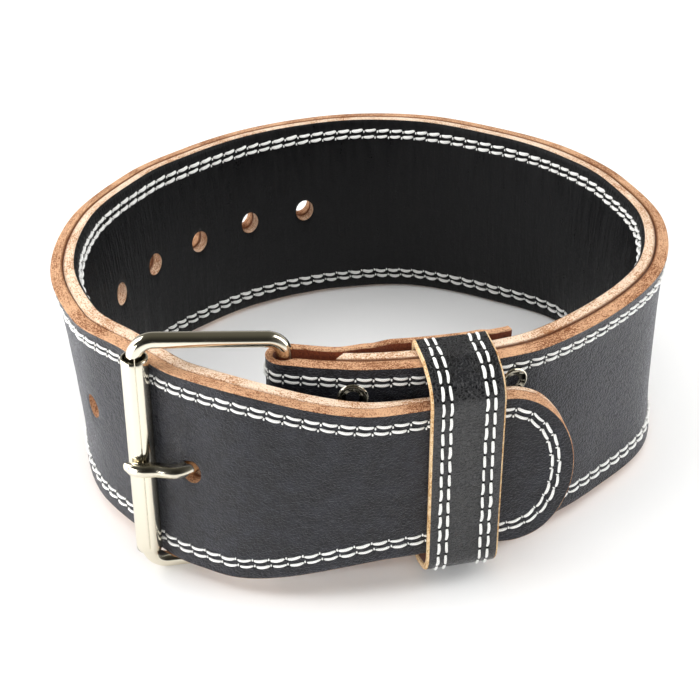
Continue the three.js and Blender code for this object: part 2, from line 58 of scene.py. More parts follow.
# Points, with the unit direction at each.
Placed = tuple[np.ndarray, np.ndarray]

# Outer face of the strap at half height, from the buckle's bar round the waist and back through the
# buckle: shares of half the loop's width and depth, of the largest lean, and of the full edge curl.
STRAP_ROWS = (
    (-0.262, -0.817, 0, 0), (-0.129, -0.833, 0, 0.15), (0.0, -0.834, 0, 0.35), (0.148, -0.816, 0, 0.5),
    (0.268, -0.792, 0, 0.65), (0.375, -0.762, 0, 0.85), (0.532, -0.68, 0.25, 1), (0.751, -0.488, 0.2, 1),
    (0.952, -0.209, -0.12, 1), (0.995, 0.137, 0.12, 1), (0.909, 0.439, -0.07, 1), (0.77, 0.684, -0.84, 1),
    (0.517, 0.862, -0.51, 1), (0.201, 0.989, -0.37, 1), (-0.13, 0.974, 0, 1), (-0.449, 0.845, 0.09, 1),
    (-0.667, 0.671, 0.19, 1), (-0.834, 0.478, 0.33, 1), (-0.975, 0.132, 0.91, 1), (-0.99, -0.207, 1, 1),
    (-0.892, -0.52, 0.65, 0.9), (-0.728, -0.721, 0.2, 0.5), (-0.666, -0.802, 0, 0), (-0.596, -0.868, 0, 0),
    (-0.52, -0.913, 0, 0), (-0.43, -0.958, 0, 0), (-0.336, -0.984, 0, 0),
)

# Tail over the buckle end: share of the tail's length from the bar, and share of the gap at its tip.
TAIL_ROWS = (
    (0.106, 0.714), (0.28, 0.557), (0.442, 0.386), (0.525, 0.314), (0.604, 0.271),
    (0.69, 0.25), (0.775, 0.271), (0.854, 0.46), (0.92, 0.7), (1, 1),
)

# Return of the fold: share of its length from the bar, and share of the room taken by the keeper.
RETURN_ROWS = (
    (0, 0), (0.2, 0), (0.35, 0.75), (0.46, 1.4), (0.54, 1.35), (0.85, 1.25), (0.92, 0.7), (1, 0.5),
)

# Prong inside the strap: the way out of the outer face as a share of the strap's thickness, the place
# along it as a share of the prong's depth, and its height over the hole's middle as a share of its rise.
PRONG_STRAP_ROWS = ((-1.233, 0.75, 0), (-0.6, 0.143, 0.6), (-0.025, -0.179, 1), (0.35, -0.804, 0.9))

# Prong over the roller: turn in degrees, gap as a share of the prong's radius, height as a share of its
# rise, and its depth and height as shares of the full section.
PRONG_ROLLER_ROWS = (
    (-27, 1.6, 0.6, 1, 1), (5, 0.95, 0.45, 0.9, 1), (35, 0.85, 0.4, 0.75, 0.95), (57, 0.85, 0.4, 0.5, 0.75),
)


@dataclass(frozen=True)
class BeltSizes:
    """Sizes of the belt in millimetres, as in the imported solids."""

    strap_width: float = 100
    strap_thickness: float = 12
    skived_thickness: float = 3.2
    edge_flare: float = 2.4
    loop_width: float = 275
    loop_depth: float = 256
    loop_lean: float = 4.3
    tail_length: float = 113
    tail_stand: float = 14
    tail_width: float = 77
    taper_length: float = 76
    tail_straight: float = 79
    tip_length: float = 28.5
    return_length: float = 106
    fold_clearance: float = 1.3
    skive_length: float = 6
    inner_layer_start: float = 22
    inner_layer_skive: float = 4.5
    tail_skive: float = 3
    tail_skive_start: float = 110
    tail_skive_run: float = 60
    hole_count: int = 10
    hole_pitch: float = 33.7
    hole_beyond_roller: float = 21.2
    hole_width: float = 9.6
    hole_height: float = 11.8
    hole_level: float = 52
    wire_diameter: float = 7
    frame_reach: float = 61.8
    frame_slack: float = 9.8
    frame_taper: float = 6
    corner_radius: float = 7.8
    roller_diameter: float = 11.5
    roller_wall: float = 0.9
    roller_seam: float = 0.5
    prong_depth: float = 5.6
    prong_height: float = 6.4
    prong_rise: float = 1.5
    prong_eye_wall: float = 2.8
    slot_margin: float = 1.5
    slot_length: float = 19
    keeper_width: float = 32
    keeper_thickness: float = 3
    keeper_centre: float = 73.5
    keeper_shoulder: float = 8.5
    keeper_bend: float = 12
    rivet_head: float = 13.5
    rivet_rim: float = 1.1
    rivet_shank: float = 6
    rivet_bore: float = 4.4
    rivet_inset: float = 14.5
    rivet_places: tuple[float, ...] = (29.5, 98)
    clearance: float = 0.3

    @property
    def layer(self) -> float:
        """Thickness of one of the strap's two layers."""
        return (self.strap_thickness - self.clearance) / 2

    @property
    def middle(self) -> float:
        """Half the strap's width, which is also the height of its middle."""
        return self.strap_width / 2

    @property
    def fold_radius(self) -> float:
        """Radius of the fold's outer face round the buckle's bar."""
        return self.wire_diameter / 2 + self.fold_clearance + self.skived_thickness

    @property
    def fold_length(self) -> float:
        """Length of the fold's outer face from the return to the strap."""
        return math.pi * self.fold_radius


def smooth(share: np.ndarray) -> np.ndarray:
    """Eases a share from 0 to 1, held at both ends."""
    held = np.clip(share, 0, 1)
    return held * held * (3 - 2 * held)


def table_value(places: np.ndarray, values: np.ndarray, at: np.ndarray) -> np.ndarray:
    """Reads a table with eased steps between its rows.

    Args:
        places: Rising places of the rows.
        values: Value of each row.
        at: Places to read.

    Returns:
        The value at each place.
    """
    after = np.clip(np.searchsorted(places, at, side="right"), 1, len(places) - 1)
    span = places[after] - places[after - 1]
    share = smooth((at - places[after - 1]) / span)
    return values[after - 1] + (values[after] - values[after - 1]) * share


class SmoothCurve:
    """A centripetal Catmull-Rom curve through given points, measured along its length."""

    STEPS = 60

    def __init__(self, points: np.ndarray) -> None:
        """Works out the curve's cubics and lengths.

        Args:
            points: Points that the curve passes through, one a row.
        """
        ends = np.vstack([2 * points[0] - points[1], points, 2 * points[-1] - points[-2]])
        p0, p1, p2, p3 = ends[:-3], ends[1:-2], ends[2:-1], ends[3:]
        d0, d1, d2 = (
            (np.sum((b - a) ** 2, axis=1) ** 0.25)[:, None] for a, b in ((p0, p1), (p1, p2), (p2, p3))
        )
        t1 = ((p1 - p0) / d0 - (p2 - p0) / (d0 + d1) + (p2 - p1) / d1) * d1
        t2 = ((p2 - p1) / d1 - (p3 - p1) / (d1 + d2) + (p3 - p2) / d2) * d1
        self.cubics = np.stack([p1, t1, 3 * (p2 - p1) - 2 * t1 - t2, 2 * (p1 - p2) + t1 + t2], axis=1)
        self.params = np.linspace(0, len(p1), len(p1) * self.STEPS + 1)
        gaps = np.linalg.norm(np.diff(self.by_param(self.params)[0], axis=0), axis=1)
        self.lengths = np.concatenate([[0.0], np.cumsum(gaps)])

    def by_param(self, params: np.ndarray) -> Placed:
        """Points and unit directions at the curve's own parameters, one unit a span."""
        span = np.clip(np.floor(params).astype(int), 0, len(self.cubics) - 1)
        share = (params - span)[..., None]
        c0, c1, c2, c3 = (self.cubics[span, power] for power in range(4))
        spot = c0 + share * (c1 + share * (c2 + share * c3))
        slope = c1 + share * (2 * c2 + 3 * share * c3)
        return spot, slope / np.linalg.norm(slope, axis=-1, keepdims=True)

    def at(self, distance: np.ndarray) -> Placed:
        """Points and unit directions at distances along the curve."""
        return self.by_param(np.interp(distance, self.lengths, self.params))


def raised(plan: np.ndarray, height: np.ndarray) -> np.ndarray:
    """Points with their plan place and a height."""
    height = np.broadcast_to(height, plan.shape[:-1])
    return np.concatenate([plan, height[..., None]], axis=-1)


class Course:
    """The way the strap takes: it turns a place along, across and into the strap into a point."""

    def __init__(self, sizes: BeltSizes) -> None:
        """Lays out the strap, the buckle's places and the way the belt stands.

        Args:
            sizes: The belt's sizes.
        """
        self.sizes = sizes
        rows = np.array(STRAP_ROWS)
        tail = np.array(TAIL_ROWS)
        waist_points = rows[:, :2] * (sizes.loop_width / 2, sizes.loop_depth / 2)
        self.waist = SmoothCurve(waist_points)
        spot, _, normal = self.plan(self.waist, tail[:, 0] * sizes.tail_length)
        stand = sizes.strap_thickness + sizes.tail_stand * tail[:, 1]
        self.strap = SmoothCurve(np.vstack([waist_points, spot + normal * stand[:, None]]))
        self.length = float(self.strap.lengths[-1])
        self.tip_start = self.length - sizes.tip_length
        self.row_places = self.strap.lengths[:: SmoothCurve.STEPS][: len(rows)]
        self.leans = sizes.loop_lean * rows[:, 2]
        self.flares = sizes.edge_flare * rows[:, 3]
        start, self.fold_tangent, self.fold_normal = self.plan(self.strap, np.zeros(()))
        self.bar = start - self.fold_normal * sizes.fold_radius
        self.roller_place = self.find_roller()
        self.roller_axis = self.roller_at(self.roller_place)
        along = self.roller_axis - self.bar
        self.frame_along = along / np.linalg.norm(along)
        self.frame_out = np.array([-self.frame_along[1], self.frame_along[0]])
        self.frame_bottom = -(sizes.wire_diameter / 2 + sizes.clearance)
        self.frame_top = sizes.strap_width + sizes.frame_slack + sizes.wire_diameter / 2
        self.hole_places = self.roller_place + sizes.hole_beyond_roller - sizes.hole_pitch * np.arange(
            sizes.hole_count
        )
        self.turn, self.shift = self.rest()

    @staticmethod
    def plan(curve: SmoothCurve, distance: np.ndarray) -> tuple[np.ndarray, np.ndarray, np.ndarray]:
        """Plan point, direction and outward normal at distances along a curve."""
        spot, tangent = curve.at(distance)
        return spot, tangent, np.stack([tangent[..., 1], -tangent[..., 0]], axis=-1)

    def roller_at(self, place: np.ndarray) -> np.ndarray:
        """Plan place of the roller's axis when it rests on the strap at a place."""
        spot, _, normal = self.plan(self.strap, place)
        flare = table_value(self.row_places, self.flares, place)
        lean = np.abs(table_value(self.row_places, self.leans, place))
        out = flare + lean + self.sizes.clearance + self.sizes.roller_diameter / 2
        return spot + normal * out[..., None]

    def find_roller(self) -> np.ndarray:
        """Place along the strap where the roller is the frame's reach away from the bar."""
        places = np.linspace(self.row_places[-8], self.row_places[-1], 4001)
        reach = np.linalg.norm(self.roller_at(places) - self.bar, axis=1)
        last_far = np.nonzero(reach > self.sizes.frame_reach)[0][-1]
        return places[last_far]

    def straight_half(self, distance: np.ndarray) -> np.ndarray:
        """Half the strap's width before its tip is rounded."""
        s = self.sizes
        taper = smooth((s.tail_straight + s.taper_length - (self.length - distance)) / s.taper_length)
        return (s.strap_width + (s.tail_width - s.strap_width) * taper) / 2

    def edge_place(self, run: np.ndarray, inset: np.ndarray) -> tuple[np.ndarray, np.ndarray]:
        """Line that keeps a distance from the strap's edge, round the tip as well.

        Args:
            run: Place along the strap, which counts the turn of the tip's outline past its start.
            inset: Distance from the edge.

        Returns:
            Distance along the strap and half height of the line.
        """
        tip = self.sizes.tip_length
        turn = np.clip((run - self.tip_start) / tip, 0, 1) * math.pi / 2
        distance = np.where(run < self.tip_start, run, self.tip_start + (tip - inset) * np.sin(turn))
        return distance, (self.straight_half(distance) - inset) * np.cos(turn)

    def tail_share(self, distance: np.ndarray) -> np.ndarray:
        """How far the strap has thinned towards its tip, from 0 round the waist to 1 near the tip."""
        s = self.sizes
        return smooth((s.tail_skive_start - (self.length - distance)) / s.tail_skive_run)

    def inner_depth(self, distance: np.ndarray) -> np.ndarray:
        """Depth of the strap's inner face below its outer face."""
        return self.sizes.strap_thickness - self.sizes.tail_skive * self.tail_share(distance)

    def return_depth(self, distance: np.ndarray) -> np.ndarray:
        """Depth of the return's visible face below the strap's outer face."""
        s = self.sizes
        rows = np.array(RETURN_ROWS)
        room = s.keeper_thickness + 2 * s.clearance
        bulge = room * table_value(rows[:, 0], rows[:, 1], distance / s.return_length)
        stacked = s.strap_thickness + s.clearance + s.skived_thickness + bulge
        start = 2 * s.fold_radius
        return start + (stacked - start) * smooth(distance / s.inner_layer_start)

    def strap_spot(self, arc: np.ndarray, height: np.ndarray, depth: np.ndarray) -> Placed:
        """Point and outward direction on the strap.

        Args:
            arc: Distance along the strap from the bar.
            height: Height above the strap's middle.
            depth: Depth below the outer face.

        Returns:
            Points and unit directions.
        """
        s = self.sizes
        arc, height, depth = np.broadcast_arrays(arc, height, depth)
        spot, _, normal = self.plan(self.strap, arc)
        flare = table_value(self.row_places, self.flares, arc)
        lean = table_value(self.row_places, self.leans, arc)
        share = height / s.middle
        offset = flare * share**4 + lean * share
        slope = (4 * flare * share**3 + lean) / s.middle
        facing = raised(normal, -slope)
        facing = facing / np.linalg.norm(facing, axis=-1, keepdims=True)
        pivot = s.strap_thickness / 2
        base = raised(spot + normal * (offset - pivot)[..., None], s.middle + height)
        return base + facing * (pivot - depth)[..., None], facing

    def ribbon_spot(self, arc: np.ndarray, height: np.ndarray, depth: np.ndarray) -> Placed:
        """Point and outward direction on the outer layer, with its fold and return before place 0.

        Args:
            arc: Distance along the outer layer, negative on the fold and the return.
            height: Height above the strap's middle.
            depth: Depth below the layer's outer face.

        Returns:
            Points and unit directions.
        """
        s = self.sizes
        arc, height, depth = np.broadcast_arrays(arc, height, depth)
        spots, facing = self.strap_spot(np.maximum(arc, 0), height, depth)
        angle = math.pi * (arc + s.fold_length) / s.fold_length
        spoke = -np.cos(angle)[..., None] * self.fold_normal - np.sin(angle)[..., None] * self.fold_tangent
        fold = raised(self.bar + spoke * (s.fold_radius - depth)[..., None], s.middle + height)
        back = np.maximum(-arc - s.fold_length, 0)
        billet, _, normal = self.plan(self.strap, back)
        sunk = (self.return_depth(back) - depth)[..., None]
        returned = raised(billet - normal * sunk, s.middle + height)
        on_fold = (arc < 0)[..., None]
        on_return = (arc < -s.fold_length)[..., None]
        spots = np.where(on_return, returned, np.where(on_fold, fold, spots))
        level = np.zeros(arc.shape)
        facing = np.where(on_return, raised(-normal, level), np.where(on_fold, raised(spoke, level), facing))
        return spots, facing

    def rest(self) -> tuple[np.ndarray, np.ndarray]:
        """Turn and shift that stand the belt on the floor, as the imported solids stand.

        Returns:
            Turning matrix, and shift in millimetres.
        """
        s = self.sizes
        foot = raised(self.bar + self.frame_along * s.corner_radius, self.frame_bottom - s.wire_diameter / 2)
        heading = -foot[:2] / np.linalg.norm(foot[:2])
        arcs = np.arange(0, self.tip_start)
        edge, _ = self.strap_spot(arcs, np.array(-s.middle), np.array(s.strap_thickness))
        far = edge[np.argmax(edge[:, :2] @ heading)]
        lean = math.atan2(far[2] - foot[2], float((far[:2] - foot[:2]) @ heading))
        turn = np.array(Matrix.Rotation(lean, 3, Vector((-heading[1], heading[0], 0))))
        low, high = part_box("roller")
        packed = np.array(low + high) / 2 / MM
        own = raised(self.roller_axis, (self.frame_top + self.frame_bottom) / 2)
        return turn, packed - turn @ own

    def to_row(self, spots: np.ndarray) -> np.ndarray:
        """Points of the belt in the row frame, in metres."""
        return (spots @ self.turn.T + self.shift) * MM


class Surface:
    """Vertices, faces, finishes and pattern places gathered for one mesh."""

    def __init__(self) -> None:
        """Starts with nothing in it."""
        self.spots: list[np.ndarray] = []
        self.faces: list[list[int]] = []
        self.finish: list[int] = []
        self.pattern: list[tuple[float, float]] = []
        self.count = 0

    def sweep(
        self,
        spots: np.ndarray,
        finish: int | np.ndarray = 0,
        along: np.ndarray | None = None,
        across: np.ndarray | None = None,
        closed: bool = False,
        capped: bool = True,
    ) -> None:
        """Adds a closed section carried along a line.

        Args:
            spots: Points, one ring a row, shaped (rings, columns, 3).
            finish: Place of the finish, for the whole sweep or for each column.
            along: Pattern place along the sweep, shaped (rings, columns).
            across: Pattern place round the section, with one more column than the points have.
            closed: Whether the last ring joins the first.
            capped: Whether the two ends are closed.
        """
        rings, columns = spots.shape[:2]
        if along is None:
            centres = spots.mean(axis=1)
            steps = np.linalg.norm(np.diff(centres, axis=0), axis=1)
            along = np.repeat(np.concatenate([[0], np.cumsum(steps)])[:, None], columns, axis=1)
        if across is None:
            edge = np.linalg.norm(np.roll(spots[0], -1, axis=0) - spots[0], axis=1)
            across = np.concatenate([[0], np.cumsum(edge)])
        across = np.broadcast_to(across, (rings, columns + 1))
        finishes = np.broadcast_to(finish, (columns,))
        here = np.arange(rings if closed else rings - 1)
        after = (here + 1) % rings
        column = np.arange(columns)
        beside = (column + 1) % columns
        corners = np.stack([
            here[:, None] * columns + column,
            here[:, None] * columns + beside,
            after[:, None] * columns + beside,
            after[:, None] * columns + column,
        ], axis=-1)
        places = np.stack([
            np.stack([along[here][:, column], across[here, :-1]], axis=-1),
            np.stack([along[here][:, beside], across[here, 1:]], axis=-1),
            np.stack([along[after][:, beside], across[after, 1:]], axis=-1),
            np.stack([along[after][:, column], across[after, :-1]], axis=-1),
        ], axis=2)
        self.faces += (corners.reshape(-1, 4) + self.count).tolist()
        self.pattern += places.reshape(-1, 2).tolist()
        self.finish += np.tile(finishes, len(here)).tolist()
        if capped and not closed:
            for ring in (0, rings - 1):
                self.faces.append((self.count + ring * columns + column).tolist())
                self.pattern += np.stack([along[ring], across[ring, :-1]], axis=-1).tolist()
                self.finish.append(int(finishes.max()))
        self.spots.append(spots.reshape(-1, 3))
        self.count += rings * columns

    def strands(self, spots: np.ndarray, along: np.ndarray, across: np.ndarray) -> None:
        """Adds many short capped sweeps at once.

        Args:
            spots: Points shaped (strands, rings, columns, 3).
            along: Pattern place of each ring.
            across: Pattern place round the section, one more than there are columns.
        """
        rings, columns = spots.shape[1:3]
        one = Surface()
        one.sweep(np.zeros((rings, columns, 3)), 0, np.repeat(along[:, None], columns, axis=1), across)
        for strand in range(len(spots)):
            shift = self.count + strand * rings * columns
            self.faces += [[corner + shift for corner in face] for face in one.faces]
            self.pattern += one.pattern
            self.finish += one.finish
        self.spots.append(spots.reshape(-1, 3))
        self.count += len(spots) * rings * columns

    def mesh(self, name: str, course: Course) -> bpy.types.Mesh:
        """Makes the mesh in the row frame, with coinciding points joined and its faces turned out.

        Args:
            name: Name of the mesh.
            course: The belt's course, which places the points.

        Returns:
            The mesh.
        """
        mesh = bpy.data.meshes.new(name)
        mesh.from_pydata(course.to_row(np.concatenate(self.spots)).tolist(), [], self.faces)
        mesh.polygons.foreach_set("material_index", self.finish)
        layer = mesh.uv_layers.new(name="course")
        layer.data.foreach_set("uv", (np.array(self.pattern) * MM).ravel())
        shape = bmesh.new()
        shape.from_mesh(mesh)
        bmesh.ops.remove_doubles(shape, verts=shape.verts, dist=MM * 1e-3)
        bmesh.ops.dissolve_degenerate(shape, edges=shape.edges, dist=MM * 1e-3)
        bmesh.ops.recalc_face_normals(shape, faces=shape.faces)
        if shape.calc_volume(signed=True) < 0:
            bmesh.ops.reverse_faces(shape, faces=shape.faces)
        shape.to_mesh(mesh)
        shape.free()
        return mesh


def rounded_loop(
    corners: np.ndarray, radii: Sequence[float], corner_steps: int, straight_steps: Sequence[int]
) -> Placed:
    """A closed line with rounded corners.

    Args:
        corners: Corner points, one a row.
        radii: Radius at each corner.
        corner_steps: Steps round each corner.
        straight_steps: Steps along the straight after each corner.

    Returns:
        Points and outward normals.
    """
    spots, normals = [], []
    before = np.roll(corners, 1, axis=0)
    after = np.roll(corners, -1, axis=0)
    for corner, last, following, radius in zip(corners, before, after, radii):
        inward = (last - corner) / np.linalg.norm(last - corner)
        outward = (following - corner) / np.linalg.norm(following - corner)
        half = math.acos(float(np.clip(inward @ outward, -1, 1))) / 2
        bisector = (inward + outward) / np.linalg.norm(inward + outward)
        centre = corner + bisector * radius / math.sin(half)
        start = corner + inward * radius / math.tan(half) - centre
        turn_sign = np.sign(-inward[0] * outward[1] + inward[1] * outward[0])
        for angle in np.linspace(0, turn_sign * (math.pi - 2 * half), corner_steps + 1):
            c, s = math.cos(angle), math.sin(angle)
            spoke = np.array([c * start[0] - s * start[1], s * start[0] + c * start[1]])
            spots.append(centre + spoke)
            normals.append(spoke / radius)
    filled, facing = [], []
    for place, (spot, normal) in enumerate(zip(spots, normals)):
        filled.append(spot)
        facing.append(normal)
        if place % (corner_steps + 1) == corner_steps:
            following = (place + 1) % len(spots)
            steps = straight_steps[place // (corner_steps + 1)]
            for share in np.arange(1, steps) / steps:
                filled.append(spot + (spots[following] - spot) * share)
                between = normal + (normals[following] - normal) * share
                facing.append(between / np.linalg.norm(between))
    return np.array(filled), np.array(facing)


def hex_colour(code: str) -> tuple[float, float, float, float]:
    """An sRGB hex colour as linear values."""
    levels = [int(code[i:i + 2], 16) / 255 for i in (1, 3, 5)]
    linear = [v / 12.92 if v <= 0.04045 else ((v + 0.055) / 1.055) ** 2.4 for v in levels]
    return (*linear, 1.0)


def add_node(
    tree: bpy.types.NodeTree, kind: str, links: dict[Any, Any] | None = None, **settings: Any
) -> bpy.types.Node:
    """Adds a node with its settings and links.

    Args:
        tree: Tree that takes the node.
        kind: Blender's type name of the node.
        links: For each input, by name or place, either a socket to link or a plain value.
        settings: Properties of the node itself.

    Returns:
        The node.
    """
    node = tree.nodes.new(kind)
    for name, value in settings.items():
        setattr(node, name, value)
    for place, value in (links or {}).items():
        if isinstance(value, bpy.types.NodeSocket):
            tree.links.new(value, node.inputs[place])
        else:
            node.inputs[place].default_value = value
    return node


class Finish(IntEnum):
    """Places of the finishes on a leather piece."""

    GRAIN = 0
    EDGE = 1
    FLESH = 2


def ramp_stops(node: bpy.types.Node, stops: Sequence[tuple[float, str]]) -> None:
    """Sets a colour ramp's stops from shares and hex colours."""
    elements = node.color_ramp.elements
    while len(elements) < len(stops):
        elements.new(0.5)
    for element, (share, code) in zip(elements, stops):
        element.position = share
        element.color = hex_colour(code)


class Material:
    """A material with a principled shader, ready for its pattern."""

    def __init__(self, name: str) -> None:
        """Makes the empty material.

        Args:
            name: Name of the material.
        """
        self.material = bpy.data.materials.new(name)
        self.material.use_nodes = True
        self.tree = self.material.node_tree
        self.tree.nodes.clear()
        self.shader = add_node(self.tree, "ShaderNodeBsdfPrincipled")
        add_node(self.tree, "ShaderNodeOutputMaterial", {"Surface": self.shader.outputs["BSDF"]})

    def add(self, kind: str, links: dict[Any, Any] | None = None, **settings: Any) -> bpy.types.Node:
        """Adds a node to this material's tree."""
        return add_node(self.tree, kind, links, **settings)

    def feed(self, socket: str, value: Any) -> None:
        """Links a socket into the shader, or sets the shader's own value."""
        if isinstance(value, bpy.types.NodeSocket):
            self.tree.links.new(value, self.shader.inputs[socket])
        else:
            self.shader.inputs[socket].default_value = value


@dataclass(frozen=True)
class DyedLeather:
    """Full-grain cowhide, drum-dyed black and rolled with a semi-gloss acrylic finish.

    The finish lies over the grain, so light breaks up in fine pebbles and pools in broad soft sheens.
    """

    name: str
    colour: str = "#111116"
    worn: str = "#24252c"
    grain_mm: float = 1.5
    grain_depth_mm: float = 0.2
    pore_mm: float = 0.3
    cloud_mm: tuple[float, float] = (9, 9)
    drape_mm: float = 0.3
    gloss: float = 0.27
    dull: float = 0.38
    crease_dull: float = 0.2
    specular: float = 0.36
    coat: float = 0.0
    sheen: float = 0.26

    def build(self) -> bpy.types.Material:
        """Makes the material."""
        m = Material(self.name)
        place = m.add("ShaderNodeTexCoord").outputs["Object"]
        waver = m.add("ShaderNodeTexNoise", {
            "Vector": place, "Scale": 1 / (2 * self.grain_mm * MM), "Detail": 2.0,
        })
        moved = m.add("ShaderNodeVectorMath", {
            0: waver.outputs["Color"], 1: (0.5, 0.5, 0.5),
        }, operation="SUBTRACT")
        bent = m.add("ShaderNodeVectorMath", {
            0: m.add("ShaderNodeVectorMath", {
                0: moved.outputs[0], 3: 2.2 * self.grain_mm * MM,
            }, operation="SCALE").outputs[0],
            1: place,
        }, operation="ADD")
        crease = m.add("ShaderNodeTexVoronoi", {
            "Vector": bent.outputs[0], "Scale": 1 / (self.grain_mm * MM), "Randomness": 1.0,
        }, feature="DISTANCE_TO_EDGE")
        pebble = m.add("ShaderNodeMapRange", {
            0: crease.outputs["Distance"], 1: 0.0, 2: 0.22, 3: 0.0, 4: 1.0,
        }, interpolation_type="SMOOTHSTEP")
        pore = m.add("ShaderNodeTexNoise", {
            "Vector": place, "Scale": 1 / (self.pore_mm * MM), "Detail": 3.0, "Roughness": 0.6,
        })
        across, up = self.cloud_mm
        drawn = m.add("ShaderNodeMapping", {
            "Vector": place, "Scale": (1 / (across * MM), 1 / (across * MM), 1 / (up * MM)),
        })
        cloud = m.add("ShaderNodeTexNoise", {
            "Vector": drawn.outputs[0], "Scale": 1.0, "Detail": 4.0, "Roughness": 0.6,
        })
        tone = m.add("ShaderNodeMix", {
            0: m.add("ShaderNodeMapRange", {
                0: cloud.outputs["Fac"], 1: 0.42, 2: 0.72, 3: 0.0, 4: 1.0,
            }).outputs[0],
            6: hex_colour(self.colour),
            7: hex_colour(self.worn),
        }, data_type="RGBA")
        m.feed("Base Color", tone.outputs[2])
        m.feed("Roughness", m.add("ShaderNodeMath", {
            0: m.add("ShaderNodeMapRange", {
                0: cloud.outputs["Fac"], 1: 0.3, 2: 0.7, 3: self.gloss, 4: self.dull,
            }).outputs[0],
            1: m.add("ShaderNodeMapRange", {
                0: pebble.outputs[0], 1: 0.0, 2: 1.0, 3: self.crease_dull, 4: 0.0,
            }).outputs[0],
        }, operation="ADD").outputs[0])
        height = m.add("ShaderNodeMath", {
            0: pebble.outputs[0],
            1: m.add("ShaderNodeMath", {0: pore.outputs["Fac"], 1: 0.25}, operation="MULTIPLY").outputs[0],
        }, operation="ADD")
        drape = m.add("ShaderNodeBump", {
            "Height": cloud.outputs["Fac"], "Strength": 1.0, "Distance": self.drape_mm * MM,
        })
        swell = m.add("ShaderNodeBump", {
            "Height": waver.outputs["Fac"], "Strength": 1.0, "Distance": 1.6 * self.grain_depth_mm * MM,
            "Normal": drape.outputs["Normal"],
        })
        m.feed("Normal", m.add("ShaderNodeBump", {
            "Height": height.outputs[0], "Strength": 1.0, "Distance": self.grain_depth_mm * MM,
            "Normal": swell.outputs["Normal"],
        }).outputs["Normal"])
        m.feed("Specular IOR Level", self.specular)
        m.feed("Coat Weight", self.coat)
        m.feed("Sheen Weight", self.sheen)
        m.feed("Sheen Roughness", 0.35)
        m.feed("Sheen Tint", hex_colour("#f2f4ff"))
        m.feed("Coat Roughness", 0.22)
        m.feed("IOR", 1.5)
        return m.material


@dataclass(frozen=True)
class CutEdge:
    """Cut edge of vegetable-tanned hide, sanded and left without edge paint.

    The cut shows the packed fibres end on: tan with brown flecks that run along the strap. A thin pale
    line follows the dyed face. A dark band along the joint of the two layers is partly the glued joint's
    own colour and partly painted shade of the groove between the layers.
    """

    name: str
    pale: str = "#d2a682"
    body: str = "#ae8160"
    fleck: str = "#744428"
    fibre_mm: float = 0.6
    streak_mm: float = 3.5
    fuzz_mm: float = 0.3
    # Dark band at the layers' joint: partly the glue's own colour, partly painted shade of the groove.
    glue_and_groove_shade: str = "#6a4027"
    glue_and_shade_depth_mm: float | None = None
    glue_and_shade_half_mm: float = 1.6
    tail_from_mm: float = 0
    tail_to_mm: float = 1

    def build(self) -> bpy.types.Material:
        """Makes the material."""
        m = Material(self.name)
        course = m.add("ShaderNodeUVMap", uv_map="course").outputs["UV"]
        place = m.add("ShaderNodeTexCoord").outputs["Object"]
        drawn = m.add("ShaderNodeMapping", {
            "Vector": course,
            "Scale": (1 / (self.streak_mm * MM), 1 / (self.fibre_mm * 1.2 * MM), 1.0),
        }).outputs["Vector"]
        streak = m.add("ShaderNodeTexNoise", {
            "Vector": drawn, "Scale": 1.0, "Detail": 4.0, "Roughness": 0.65,
        })
        speck = m.add("ShaderNodeTexNoise", {
            "Vector": place, "Scale": 1 / (self.fibre_mm * MM), "Detail": 3.0, "Roughness": 0.75,
        })
        broad = m.add("ShaderNodeTexNoise", {
            "Vector": place, "Scale": 1 / (14 * MM), "Detail": 2.0, "Roughness": 0.5,
        })
        parts_of_tone = [
            m.add("ShaderNodeMath", {0: pattern.outputs["Fac"], 1: weight}, operation="MULTIPLY").outputs[0]
            for pattern, weight in ((speck, 1.5), (streak, 0.7), (broad, 0.6))
        ]
        fibres = m.add("ShaderNodeMath", {0: parts_of_tone[0], 1: parts_of_tone[1]}, operation="ADD")
        mixed = m.add("ShaderNodeMath", {0: fibres.outputs[0], 1: parts_of_tone[2]}, operation="ADD")
        share = m.add("ShaderNodeMapRange", {0: mixed.outputs[0], 1: 1.0, 2: 1.8, 3: 0.0, 4: 1.0})
        ramp = m.add("ShaderNodeValToRGB", {0: share.outputs[0]})
        ramp_stops(ramp, ((0.28, self.fleck), (0.44, self.body), (0.6, self.pale), (1.0, self.pale)))
        colour = ramp.outputs["Color"]
        # Painted groove shade and glue colour: darkens a band round the layers' joint, fading out along the
        # tail.
        if self.glue_and_shade_depth_mm is not None:
            parts = m.add("ShaderNodeSeparateXYZ", {0: course})
            away = m.add("ShaderNodeMath", {
                0: m.add("ShaderNodeMath", {
                    0: parts.outputs[1], 1: self.glue_and_shade_depth_mm * MM,
                }, operation="SUBTRACT").outputs[0],
            }, operation="ABSOLUTE")
            near = m.add("ShaderNodeMapRange", {
                0: away.outputs[0], 1: 0.3 * MM, 2: self.glue_and_shade_half_mm * MM, 3: 0.9, 4: 0.0,
            }, interpolation_type="SMOOTHSTEP")
            waist = m.add("ShaderNodeMapRange", {
                0: parts.outputs[0], 1: self.tail_from_mm * MM, 2: self.tail_to_mm * MM, 3: 1.0, 4: 0.0,
            })
            weight = m.add("ShaderNodeMath", {0: near.outputs[0], 1: waist.outputs[0]}, operation="MULTIPLY")
            mix = m.add("ShaderNodeMix", {
                0: weight.outputs[0], 6: colour, 7: hex_colour(self.glue_and_groove_shade),
            }, data_type="RGBA")
            colour = mix.outputs[2]
        m.feed("Base Color", colour)
        m.feed("Roughness", 0.85)
        m.feed("Specular IOR Level", 0.2)
        m.feed("Subsurface Weight", 0.05)
        m.feed("Subsurface Radius", (0.6 * MM, 0.35 * MM, 0.2 * MM))
        m.feed("Subsurface Scale", 1.0)
        m.feed("Normal", m.add("ShaderNodeBump", {
            "Height": speck.outputs["Fac"], "Strength": 1.0, "Distance": self.fuzz_mm * MM,
        }).outputs["Normal"])
        return m.material


